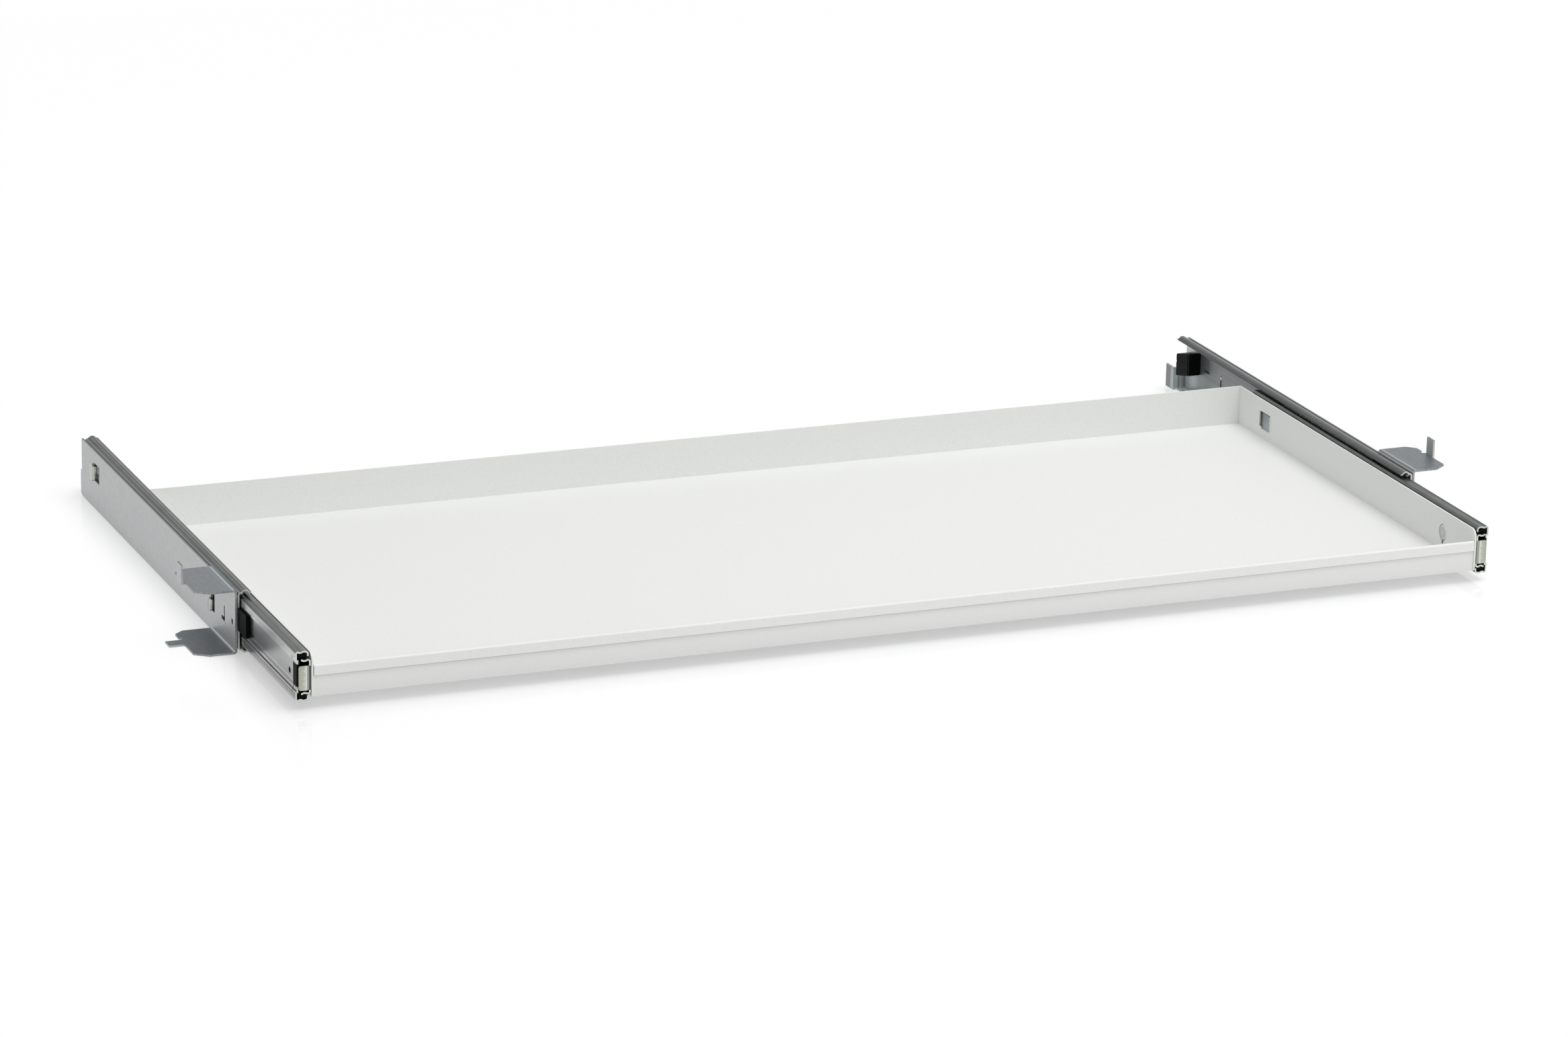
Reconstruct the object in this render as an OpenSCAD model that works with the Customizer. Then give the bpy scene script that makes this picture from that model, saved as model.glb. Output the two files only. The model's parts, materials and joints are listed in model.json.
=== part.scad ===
// Pull-out shelf: a folded sheet tray on a pair of three-part ball slides,
// each slide hooked into a galvanised mounting bracket.
// X runs across the shelf, the shelf pulls out towards -Y, and +Z is up.
// It is drawn partly pulled out. The slide sections are drawn with u measured
// outwards from the slide's tray side and v up from the slide's centre line.

/* [Tray] */
// Outside width of the tray
tray_w = 905; // [500:1:1400]
// Depth of the tray, front to back
tray_d = 400; // [340:1:600]
// Height of the side and back walls
wall_h = 32.3; // [28:0.1:60]
// Height of the front wall
front_h = 23.8; // [18:0.1:28]
// Height of the front wall's folded lip
lip_h = 7.6; // [4:0.1:12]
// Thickness of the tray's sheet
sheet_t = 1.2; // [0.8:0.1:1.6]
// Outside radius of the tray's bends
tray_bend_r = 1.7; // [1.7:0.1:4]
// Gap inside the folded lip
hem_gap = 0.4; // [0.3:0.1:1]
// Radius of the side walls' top front corners
corner_top_r = 6; // [2:0.5:10]
// Radius of the side walls' bottom front corners
corner_low_r = 3; // [1:0.5:6]

/* [Tray slots] */
// Distance from the rear slot to the drawer member's rear end
rear_slot_in = 17; // [10:1:80]
// Length of the rear slot
rear_slot_l = 18; // [10:1:30]
// Height of the rear slot
rear_slot_h = 12.8; // [8:0.1:16]
// Distance from the tray's front to the centre of the front eye
eye_y = 50.5; // [35:0.5:90]
// Radius of the front eye
eye_r = 6.2; // [4:0.1:8]
// Width of the eye's stem
eye_stem_w = 3; // [1.5:0.1:5]
// Reach of the eye's stem below the eye's centre
eye_stem_l = 9; // [7:0.1:10]
// Gap around a hook in its slot
hook_gap = 0.3; // [0.2:0.05:0.8]

/* [Slides] */
// Height of the slides' centre line above the tray's underside
slide_z = 15.6; // [14:0.1:24]
// Height of a cabinet member over its flanges
slide_h = 43.3; // [40:0.1:50]
// Thickness of a slide
slide_t = 12.7; // [12.4:0.1:16]
// Thickness of the slides' steel
steel_t = 1.2; // [1:0.05:1.3]
// Outside radius of the slides' bends
steel_bend_r = 2; // [1.6:0.1:2.4]
// Gap between a slide and the walls beside it
seat_gap = 0.5; // [0.3:0.1:1.5]
// How far the shelf stands pulled out of the brackets
pull_out = 130; // [60:1:170]
// Length of a cabinet member
cabinet_l = 395; // [380:1:600]
// Length of a middle member and of a drawer member
runner_l = 378; // [360:1:400]
// Setback of the drawer members' front ends behind the tray's front
drawer_front_y = 1; // [0.5:0.5:5]
// Setback of the middle members' front ends behind the tray's front
middle_front_y = 3; // [2.5:0.5:8]
// Diameter of the outer balls
outer_ball_d = 4.4; // [4:0.1:4.6]
// Diameter of the inner balls
inner_ball_d = 4.8; // [4.4:0.1:5]
// Running gap between a ball and its races
ball_gap = 0.05; // [0.02:0.01:0.1]
// Balls in one row
row_balls = 8; // [4:1:10]
// Length of an outer retainer
outer_cage_l = 154; // [100:1:165]
// Length of an inner retainer
inner_cage_l = 150; // [100:1:158]
// Thickness of the retainers' strip
cage_t = 0.4; // [0.3:0.05:0.5]
// Height of the sunk panel along a middle member's web
panel_h = 24; // [18:0.5:26]
// Depth of that sunk panel
panel_sink = 1; // [0.6:0.1:1.2]
// Setback of a middle member's web behind its flanges at the front
web_setback = 8; // [4:0.5:14]
// Height of the window at the front of a middle member's web
web_window_h = 16.4; // [12:0.2:18]
// Rise of that window's middle above the slide's centre line
web_window_rise = 0.8; // [0:0.1:1.2]
// Width of the relief slots at the window's corners
relief_w = 1.2; // [0.8:0.1:2]
// Height of the end tab that closes a drawer member's front
end_tab_h = 17.8; // [12:0.2:18.4]
// Drop of the end tab's middle below the slide's centre line
end_tab_drop = 1; // [0:0.1:1]
// Outside radius of the end tab's bend
end_tab_bend_r = 2.4; // [1.8:0.1:3]
// Radius of the end tab's free corners
end_tab_corner_r = 1.6; // [0.5:0.1:3]

/* [Brackets] */
// Thickness of the brackets' steel
bracket_t = 1.5; // [1:0.1:2]
// Outside radius of the brackets' bends
bracket_bend_r = 2.5; // [2.2:0.1:4]
// Height of a bracket
bracket_h = 47.8; // [44:0.1:56]
// Drop of a bracket's lower edge below the tray's underside
bracket_drop = 8.5; // [6.5:0.1:14]
// Length of a bracket's flanges
flange_l = 58; // [50:1:90]
// Reach of the top flange beyond the bracket's web
top_reach = 28.8; // [20:0.1:45]
// Reach of the bottom flange beyond the bracket's web
low_reach = 28.8; // [20:0.1:45]
// Length of the flanges' front chamfers along the bracket
chamfer_front_l = 7.5; // [3:0.5:14]
// Width of the flanges' front chamfers
chamfer_front_w = 10; // [4:0.5:16]
// Length of the flanges' rear chamfers along the bracket
chamfer_rear_l = 6; // [3:0.5:10]
// Width of the flanges' rear chamfers
chamfer_rear_w = 7; // [3:0.5:14]
// Distance from the bracket's front to the outer tabs
tab_y = 28; // [20:0.5:31]
// Width of the outer tabs
tab_w = 10.5; // [5:0.5:12]
// Height of the upright tab over the top flange
up_tab_h = 12.8; // [6:0.5:24]
// Reach of the flat tab beyond the bottom flange
flat_tab_l = 11.5; // [6:0.5:20]
// Radius of the round notches behind the outer tabs
notch_r = 2.6; // [1.5:0.1:3.5]
// Diameter of the screw hole near the bracket's front
screw_d = 4.3; // [3:0.1:6]
// Distance from the bracket's front to the screw hole
screw_y = 7.3; // [5:0.1:12]
// Reach of the tongue behind the bracket's rear panel
tongue_l = 14; // [6:0.5:24]
// Height of the rear panel and its tongue
tongue_h = 19; // [12:0.5:24]

/* [Plastic] */
// Length of a front guide inside its middle member
guide_l = 16; // [10:0.5:18]
// Running gap between a front guide and the drawer member
guide_gap = 0.3; // [0.2:0.05:0.5]
// Reach of a front stop ahead of its cabinet member
stop_reach = 19; // [8:0.5:24]
// Length of a rear buffer
buffer_l = 24; // [16:1:32]
// Height of a rear buffer's front face
buffer_h = 18.5; // [12:0.5:20]
// Drop of a rear buffer from its front face to its rear face
buffer_drop = 5.8; // [2:0.1:8]
// Depth of the grooves along a rear buffer
groove_d = 0.8; // [0.4:0.1:1.5]

/* [Hidden] */
$fn = 48;

powder_white = [0.90, 0.90, 0.90];
galvanised = [0.70, 0.71, 0.71];
zinc = [0.78, 0.80, 0.78];
zinc_dark = [0.45, 0.46, 0.47];
ball_steel = [0.85, 0.86, 0.87];
black_plastic = [0.10, 0.10, 0.11];

// Overlap that joins the solids of one piece, and overshoot of a cut
weld = 0.2;
cut = 1;

// Where the slide stands
slide_x = tray_w/2 + seat_gap;
cabinet_y = pull_out;
cabinet_rear_y = cabinet_y + cabinet_l;
middle_rear_y = middle_front_y + runner_l;
drawer_rear_y = drawer_front_y + runner_l;

// The section, from the outside in: heights
cab_in_v = slide_h/2 - steel_t;
race_sink = 0.45;
outer_ball_v = cab_in_v - race_sink;
outer_race_r = outer_ball_d/2 + ball_gap;
mid_groove_sink = 0.6;
mid_top_v = outer_ball_v - outer_race_r + mid_groove_sink;
mid_in_v = mid_top_v - steel_t;
inner_race_r = inner_ball_d/2 + ball_gap;
inner_ball_v = mid_in_v - inner_race_r;
groove_sink = 0.6;
drawer_top_v = inner_ball_v - inner_race_r + groove_sink;

// The section, from the outside in: distances from the tray
cab_in_u = slide_t - steel_t;
web_room = cage_t + 0.5;
mid_out_u = cab_in_u - web_room;
mid_in_u = mid_out_u - steel_t;
panel_in_u = mid_in_u - panel_sink;
cage_room = cage_t + 1;
drawer_reach_u = panel_in_u - cage_room;
web_window_v = web_window_rise - web_window_h/2;
end_tab_v = -end_tab_h/2 - end_tab_drop;
mid_lip_u = 0.9;
curl_r = 2.6;
curl_u = mid_lip_u + curl_r;
curl_v = mid_top_v - curl_r;
mid_lip_v = curl_v - 1.45;
inner_ball_u = mid_lip_u + steel_t + inner_race_r - ball_gap;
outer_ball_u = inner_ball_u + 2.6;
cab_lip_u = outer_ball_u - outer_race_r - steel_t - 0.8;

// The retainers and their balls
outer_cage_y = (cabinet_y + middle_rear_y)/2;
inner_cage_y = (drawer_front_y + drawer_rear_y)/2 + 2;
outer_cage_u = mid_out_u + (web_room - cage_t)/2;
outer_cage_v = outer_ball_v - 0.8;
outer_hole_r = sqrt(pow(outer_ball_d/2, 2) - pow(0.8 - cage_t/2, 2)) + 0.1;
inner_cage_u = drawer_reach_u + 0.4;
inner_cage_v = inner_ball_v - 1.25;
inner_hole_r = sqrt(pow(inner_ball_d/2, 2) - pow(1.25 - cage_t/2, 2)) + 0.1;
row_margin = 6;

// The hooks that join tray, slide and bracket
rear_slot_y = drawer_rear_y - rear_slot_in - rear_slot_l;
rear_slot_z = slide_z - rear_slot_h/2 + 0.8;
eye_z = slide_z;
front_hook_y = cabinet_y + 56;
front_hook_l = 6.8;
front_hook_z = slide_z - 10.4;
front_hook_h = 10.2;
rear_hook_y = cabinet_rear_y - 33.1;
rear_hook_l = 9.5;
rear_hook_z = slide_z - 3.3;
rear_hook_h = 13.1;
hook_proud = 1.6;
hook_neck_l = 2.5;
hook_drop = 1.7;
rear_press_y = cabinet_rear_y - 44;

// The brackets
bracket_in_x = slide_x + slide_t + seat_gap;
bracket_out_x = bracket_in_x + bracket_t;
bracket_low_z = -bracket_drop;
bracket_top_z = bracket_low_z + bracket_h;
bracket_rear_y = cabinet_rear_y + 5.5;
web_rear_y = cabinet_rear_y + 2.5;
tongue_x = slide_x + 2.4;
tongue_z = bracket_low_z + 1;
up_tab_slant = 0.2;
up_tab_out = 2.5;

// The part's origin: the middle of its underside
origin_y = -(bracket_rear_y + tongue_l - bracket_t)/2;
origin_z = bracket_drop;

// One quarter of a bent sheet's ring, in the quadrant that sx and sy name
module quarter(r_out, r_in, sx, sy) {
    intersection() {
        difference() {
            circle(r_out);
            circle(r_in);
        }
        translate([sx < 0 ? -r_out : 0, sy < 0 ? -r_out : 0])
            square(r_out);
    }
}

// Runs an (x, z) section from y0 to y1
module along(y0, y1) {
    translate([0, y1, 0])
        rotate([90, 0, 0])
            linear_extrude(y1 - y0)
                children();
}

// Runs a (y, z) section from x0 to x1
module across(x0, x1) {
    translate([x0, 0, 0])
        rotate([90, 0, 90])
            linear_extrude(x1 - x0)
                children();
}

// Puts a drawn piece into the part's frame
module seat() {
    translate([0, origin_y, origin_z])
        children();
}

// Puts a piece drawn about the slide's own lines beside the tray
module beside_tray() {
    seat()
        translate([slide_x, 0, slide_z])
            children();
}

module mirrored_halves() {
    children();
    mirror([0, 1, 0])
        children();
}

// Tray

module tray_long_section() {
    hem_r = sheet_t + hem_gap/2;
    wall_y = sheet_t + hem_gap;
    // Folded lip, rounded over the top of the front wall
    translate([0, front_h - lip_h])
        square([sheet_t, lip_h - hem_r]);
    translate([hem_r, front_h - hem_r]) {
        quarter(hem_r, hem_gap/2, -1, 1);
        quarter(hem_r, hem_gap/2, 1, 1);
    }
    translate([wall_y, tray_bend_r])
        square([sheet_t, front_h - hem_r - tray_bend_r]);
    translate([wall_y + tray_bend_r, tray_bend_r])
        quarter(tray_bend_r, tray_bend_r - sheet_t, -1, -1);
    // Floor and back wall
    translate([wall_y + tray_bend_r, 0])
        square([tray_d - wall_y - 2*tray_bend_r, sheet_t]);
    translate([tray_d - tray_bend_r, tray_bend_r])
        quarter(tray_bend_r, tray_bend_r - sheet_t, 1, -1);
    translate([tray_d - sheet_t, tray_bend_r])
        square([sheet_t, wall_h - tray_bend_r]);
}

module tray_side_outline() {
    y0 = 0.5;
    floor_y = sheet_t + hem_gap + tray_bend_r;
    difference() {
        translate([y0, 0])
            square([tray_d - y0, wall_h]);
        translate([y0 - cut, wall_h - corner_top_r])
            square([corner_top_r + cut, corner_top_r + cut]);
        translate([y0 - cut, -cut])
            square([corner_low_r + cut, corner_low_r + cut]);
        translate([floor_y, -cut])
            square([tray_d, tray_bend_r + cut]);
    }
    translate([y0 + corner_top_r, wall_h - corner_top_r])
        circle(corner_top_r);
    difference() {
        translate([y0 + corner_low_r, corner_low_r])
            circle(corner_low_r);
        translate([floor_y, -cut])
            square([tray_d, tray_bend_r + cut]);
    }
}

module tray_side_bend() {
    bend_x = tray_w/2 - tray_bend_r;
    translate([bend_x, tray_bend_r])
        quarter(tray_bend_r, tray_bend_r - sheet_t, 1, -1);
    translate([bend_x - 10, 0])
        square([10, sheet_t]);
}

module tray_wall_openings() {
    translate([tray_w/2 - sheet_t - cut, rear_slot_y, rear_slot_z])
        cube([sheet_t + 2*cut, rear_slot_l, rear_slot_h]);
    translate([tray_w/2 - sheet_t - cut, eye_y, eye_z]) {
        rotate([0, 90, 0])
            cylinder(h = sheet_t + 2*cut, r = eye_r);
        translate([0, -eye_stem_w/2, -eye_stem_l])
            cube([sheet_t + 2*cut, eye_stem_w, eye_stem_l]);
    }
}

module tray_side() {
    floor_y = sheet_t + hem_gap + tray_bend_r;
    difference() {
        union() {
            across(tray_w/2 - sheet_t, tray_w/2)
                tray_side_outline();
            along(floor_y, tray_d - tray_bend_r)
                tray_side_bend();
        }
        tray_wall_openings();
    }
}

module shelf_tray() {
    long_x = tray_w/2 - tray_bend_r;
    color(powder_white)
        seat() {
            across(-long_x, long_x)
                tray_long_section();
            tray_side();
            mirror([1, 0, 0])
                tray_side();
        }
}

// Cabinet member: the outer channel of a slide

module cabinet_half_section() {
    bend_u = slide_t - steel_bend_r;
    bend_v = slide_h/2 - steel_bend_r;
    translate([cab_in_u, -weld])
        square([steel_t, bend_v + weld]);
    translate([bend_u, bend_v])
        quarter(steel_bend_r, steel_bend_r - steel_t, 1, 1);
    difference() {
        union() {
            translate([cab_lip_u, cab_in_v])
                square([bend_u - cab_lip_u, steel_t]);
            intersection() {
                translate([outer_ball_u, outer_ball_v])
                    circle(outer_race_r + steel_t);
                translate([0, cab_in_v])
                    square([slide_t, slide_t]);
            }
        }
        translate([outer_ball_u, outer_ball_v])
            circle(outer_race_r);
    }
}

module cabinet_hook(y0, z0, length, height) {
    reach = seat_gap + bracket_t + hook_proud;
    translate([slide_x + slide_t - weld, y0, z0 + hook_drop])
        cube([reach + weld, hook_neck_l, height - hook_drop]);
    translate([slide_x + slide_t + reach - steel_t, y0, z0])
        cube([steel_t, length, height]);
}

module cabinet_member() {
    stop_u = mid_out_u - steel_t - 1.6;
    stop_drop = 1.6;
    color(zinc_dark) {
        difference() {
            beside_tray()
                along(cabinet_y, cabinet_rear_y)
                    mirrored_halves()
                        cabinet_half_section();
            seat() {
                // Clear hole behind the bracket's screw hole
                translate([slide_x + cab_in_u - cut, cabinet_y + screw_y, slide_z - 1.9])
                    rotate([0, 90, 0])
                        cylinder(h = steel_t + 2*cut, d = screw_d + 1.6);
                // Openings that the hooks were pressed out of
                translate([slide_x + cab_in_u - cut, rear_press_y, slide_z + 2.4])
                    cube([steel_t + 2*cut, 10.5, 11.3]);
                translate([slide_x + cab_in_u - cut, front_hook_y - 9.5, slide_z - 9.1])
                    cube([steel_t + 2*cut, 9.2, 11.5]);
                translate([slide_x + cab_in_u - cut, rear_press_y - 22, slide_z - 2.6])
                    cube([steel_t + 2*cut, 2, 9.4]);
                // Rear corners of the flanges
                for (v = [-1, 1])
                    translate([slide_x - cut, cabinet_rear_y, slide_z + v*slide_h/2])
                        rotate([0, 0, 18])
                            translate([-cut, -cut, -slide_t/2])
                                cube([12, 12, slide_t]);
            }
        }
        seat() {
            cabinet_hook(rear_hook_y, rear_hook_z, rear_hook_l, rear_hook_h);
            cabinet_hook(front_hook_y, front_hook_z, front_hook_l, front_hook_h);
            // Stop tabs bent in from the flanges at the front
            for (v = [-1, 1])
                translate([slide_x + stop_u, cabinet_y + 1,
                           slide_z + v*(cab_in_v - stop_drop/2 + weld/2) - stop_drop/2 - weld/2])
                    cube([3, steel_t, stop_drop + weld]);
        }
    }
}

// Middle member

module middle_half_section() {
    bend_u = mid_out_u - steel_bend_r;
    bend_v = mid_top_v - steel_bend_r;
    step_v = panel_h/2 - steel_t;
    translate([panel_in_u, -weld])
        square([steel_t, panel_h/2 + weld]);
    translate([panel_in_u, step_v])
        square([steel_t + panel_sink, steel_t]);
    translate([mid_in_u, step_v])
        square([steel_t, bend_v - step_v]);
    translate([bend_u, bend_v])
        quarter(steel_bend_r, steel_bend_r - steel_t, 1, 1);
    // Flange, with a groove for the outer balls
    difference() {
        union() {
            translate([curl_u, mid_in_v])
                square([bend_u - curl_u, steel_t]);
            intersection() {
                translate([outer_ball_u, outer_ball_v])
                    circle(outer_race_r + steel_t);
                translate([curl_u, mid_in_v - steel_t])
                    square([bend_u - curl_u, 1.5*steel_t]);
            }
        }
        translate([outer_ball_u, outer_ball_v])
            circle(outer_race_r);
    }
    translate([curl_u, curl_v])
        quarter(curl_r, curl_r - steel_t, -1, 1);
    translate([mid_lip_u, mid_lip_v])
        square([steel_t, curl_v - mid_lip_v]);
}

module middle_member() {
    color(zinc)
        beside_tray()
            difference() {
                along(middle_front_y, middle_rear_y)
                    mirrored_halves()
                        middle_half_section();
                // Window at the front of the web, and its relief slots
                translate([panel_in_u - cut, middle_front_y - cut, web_window_v])
                    cube([slide_t, web_setback + cut, web_window_h]);
                translate([panel_in_u - cut, middle_front_y + web_setback - relief_w, -13])
                    cube([slide_t, relief_w, 26.6]);
                // Round hole and slot behind the cut
                translate([panel_in_u - cut, middle_front_y + web_setback + 8, 0])
                    rotate([0, 90, 0])
                        cylinder(h = slide_t, d = 4.5);
                translate([panel_in_u - cut, middle_rear_y - 30, -3])
                    cube([slide_t, 10, 6]);
            }
}

// Drawer member: the inner channel, hooked to the tray

module drawer_half_section() {
    flange_v = drawer_top_v - steel_t;
    translate([0, -weld])
        square([steel_t, drawer_top_v - steel_bend_r + weld]);
    translate([steel_bend_r, drawer_top_v - steel_bend_r])
        quarter(steel_bend_r, steel_bend_r - steel_t, -1, 1);
    difference() {
        union() {
            translate([steel_bend_r, flange_v])
                square([drawer_reach_u - steel_bend_r, steel_t]);
            intersection() {
                translate([inner_ball_u, inner_ball_v])
                    circle(inner_race_r + steel_t);
                translate([0, flange_v - steel_t])
                    square([drawer_reach_u, 1.5*steel_t]);
            }
        }
        translate([inner_ball_u, inner_ball_v])
            circle(inner_race_r);
    }
}

module end_tab_bend() {
    translate([end_tab_bend_r, end_tab_bend_r])
        quarter(end_tab_bend_r, end_tab_bend_r - steel_t, -1, -1);
    translate([0, end_tab_bend_r])
        square([steel_t, weld]);
    translate([end_tab_bend_r, 0])
        square([weld, steel_t]);
}

module end_tab_outline() {
    flat_l = drawer_reach_u + 1.6 - end_tab_bend_r;
    translate([end_tab_bend_r, end_tab_v]) {
        square([flat_l - end_tab_corner_r, end_tab_h]);
        translate([0, end_tab_corner_r])
            square([flat_l, end_tab_h - 2*end_tab_corner_r]);
        for (v = [end_tab_corner_r, end_tab_h - end_tab_corner_r])
            translate([flat_l - end_tab_corner_r, v])
                circle(end_tab_corner_r);
    }
}

module drawer_member() {
    color(zinc) {
        beside_tray() {
            difference() {
                along(drawer_front_y, drawer_rear_y)
                    mirrored_halves()
                        drawer_half_section();
                translate([-cut, drawer_front_y - cut, end_tab_v])
                    cube([steel_t + 2*cut, end_tab_bend_r + cut, end_tab_h]);
            }
            // End tab bent across the front
            translate([0, drawer_front_y, end_tab_v])
                linear_extrude(end_tab_h)
                    end_tab_bend();
            along(drawer_front_y, drawer_front_y + steel_t)
                end_tab_outline();
        }
        seat() {
            // Rear hook in the tray's slot
            translate([tray_w/2 - sheet_t - hook_gap, rear_slot_y + hook_gap, rear_slot_z + 1.6])
                cube([sheet_t + hook_gap + seat_gap + weld,
                      rear_slot_l - 3.5, rear_slot_h - 3.2]);
            // Front hook in the tray's eye, with its dimple
            translate([tray_w/2 - sheet_t, eye_y, eye_z])
                rotate([0, 90, 0])
                    difference() {
                        cylinder(h = sheet_t + seat_gap + weld, r = eye_r - 1.6);
                        translate([0, 0, -cut])
                            cylinder(h = cut + 0.5, r = 1);
                    }
        }
    }
}

// Ball retainers and their balls

function row_y(mid, length, i) =
    mid + (i - (row_balls - 1)/2)*(length - 2*row_margin)/(row_balls - 1);

module retainer(mid, length, web_u, lip_u, flange_v, ball_u, hole_r) {
    difference() {
        along(mid - length/2, mid + length/2)
            difference() {
                translate([lip_u, -flange_v - cage_t/2])
                    square([web_u + cage_t - lip_u, 2*flange_v + cage_t]);
                translate([lip_u - cut, -flange_v + cage_t/2])
                    square([web_u - lip_u + cut, 2*flange_v - cage_t]);
            }
        for (i = [0:row_balls - 1])
            translate([ball_u, row_y(mid, length, i), -slide_h/2])
                cylinder(h = slide_h, r = hole_r);
    }
}

module ball_rows(mid, length, ball_u, ball_v, ball_d) {
    for (i = [0:row_balls - 1], v = [-ball_v, ball_v])
        translate([ball_u, row_y(mid, length, i), v])
            sphere(d = ball_d);
}

module outer_retainer() {
    color(zinc)
        beside_tray()
            retainer(outer_cage_y, outer_cage_l, outer_cage_u,
                     outer_ball_u - outer_hole_r - 0.8, outer_cage_v,
                     outer_ball_u, outer_hole_r);
}

module outer_balls() {
    color(ball_steel)
        beside_tray()
            ball_rows(outer_cage_y, outer_cage_l, outer_ball_u, outer_ball_v, outer_ball_d);
}

module inner_retainer() {
    color(zinc)
        beside_tray()
            retainer(inner_cage_y, inner_cage_l, inner_cage_u,
                     inner_ball_u - inner_hole_r - 0.8, inner_cage_v,
                     inner_ball_u, inner_hole_r);
}

module inner_balls() {
    color(ball_steel)
        beside_tray()
            ball_rows(inner_cage_y, inner_cage_l, inner_ball_u, inner_ball_v, inner_ball_d);
}

// Mounting bracket

module bracket_flanged_section() {
    bend_x = bracket_in_x + bracket_bend_r;
    translate([bracket_in_x, bracket_low_z + bracket_bend_r])
        square([bracket_t, bracket_h - 2*bracket_bend_r]);
    translate([bend_x, bracket_top_z - bracket_bend_r])
        quarter(bracket_bend_r, bracket_bend_r - bracket_t, -1, 1);
    translate([bend_x, bracket_low_z + bracket_bend_r])
        quarter(bracket_bend_r, bracket_bend_r - bracket_t, -1, -1);
    translate([bend_x, bracket_top_z - bracket_t])
        square([bracket_out_x + top_reach - bend_x, bracket_t]);
    translate([bend_x, bracket_low_z])
        square([bracket_out_x + low_reach - bend_x, bracket_t]);
}

// What the chamfers and the notch take away from a flange, seen from above
module flange_trim(edge_x) {
    rear_y = cabinet_y + flange_l;
    polygon([
        [edge_x - chamfer_front_w, cabinet_y],
        [edge_x - chamfer_front_w, cabinet_y - cut],
        [edge_x + cut, cabinet_y - cut],
        [edge_x + cut, cabinet_y + chamfer_front_l],
        [edge_x, cabinet_y + chamfer_front_l],
    ]);
    polygon([
        [edge_x - chamfer_rear_w, rear_y],
        [edge_x, rear_y - chamfer_rear_l],
        [edge_x + cut, rear_y - chamfer_rear_l],
        [edge_x + cut, rear_y + cut],
        [edge_x - chamfer_rear_w, rear_y + cut],
    ]);
    translate([edge_x, cabinet_y + tab_y + tab_w + notch_r])
        circle(notch_r);
}

module bracket_openings() {
    deep = bracket_t + 2*cut;
    translate([bracket_in_x - cut, 0, 0]) {
        // Windows for the cabinet member's hooks
        translate([0, rear_hook_y - 12.7, rear_hook_z + hook_drop - hook_gap - 0.1])
            cube([deep, hook_neck_l + 13.3, rear_hook_h + 0.7]);
        translate([0, front_hook_y - 6, front_hook_z + hook_drop - hook_gap - 0.1])
            cube([deep, hook_neck_l + 6.5, front_hook_h + 4.4]);
        // Slot with a foot
        translate([0, cabinet_y + 25, slide_z - 7.6])
            cube([deep, 2, 11.5]);
        translate([0, cabinet_y + 25, slide_z - 7.6])
            cube([deep, 8, 3]);
        // Screw hole
        translate([0, cabinet_y + screw_y, slide_z - 1.9])
            rotate([0, 90, 0])
                cylinder(h = deep, d = screw_d);
    }
}

module mounting_bracket() {
    flange_y = cabinet_y + flange_l;
    top_edge_x = bracket_out_x + top_reach;
    low_edge_x = bracket_out_x + low_reach;
    color(galvanised)
        seat() {
            difference() {
                union() {
                    along(cabinet_y, flange_y)
                        bracket_flanged_section();
                    along(flange_y - weld, web_rear_y)
                        translate([bracket_in_x, bracket_low_z])
                            square([bracket_t, bracket_h - bracket_bend_r]);
                    along(web_rear_y - weld, bracket_rear_y)
                        translate([bracket_in_x, tongue_z])
                            square([bracket_t, tongue_h]);
                }
                translate([0, 0, bracket_top_z - bracket_bend_r])
                    linear_extrude(bracket_bend_r + cut)
                        flange_trim(top_edge_x);
                translate([0, 0, bracket_low_z - cut])
                    linear_extrude(bracket_bend_r + cut)
                        flange_trim(low_edge_x);
                bracket_openings();
            }
            // Upright tab, bent up just outside the top flange's edge
            translate([top_edge_x - weld, cabinet_y + tab_y, bracket_top_z - bracket_t])
                cube([up_tab_out + weld, tab_w, bracket_t]);
            across(top_edge_x + up_tab_out - bracket_t, top_edge_x + up_tab_out)
                polygon([
                    [cabinet_y + tab_y, bracket_top_z - bracket_t],
                    [cabinet_y + tab_y + tab_w, bracket_top_z - bracket_t],
                    [cabinet_y + tab_y + tab_w, bracket_top_z + up_tab_h],
                    [cabinet_y + tab_y, bracket_top_z + up_tab_h - up_tab_slant],
                ]);
            // Flat tab at the bottom flange's edge
            translate([low_edge_x - weld, cabinet_y + tab_y, bracket_low_z])
                cube([flat_tab_l + weld, tab_w, bracket_t]);
            // Rear panel folded in behind the slide, and its tongue
            translate([tongue_x, bracket_rear_y - bracket_t, tongue_z])
                cube([bracket_in_x + weld - tongue_x, bracket_t, tongue_h]);
            translate([tongue_x, bracket_rear_y - bracket_t, tongue_z])
                cube([bracket_t, tongue_l, tongue_h]);
        }
}

// Plastic pieces

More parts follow.
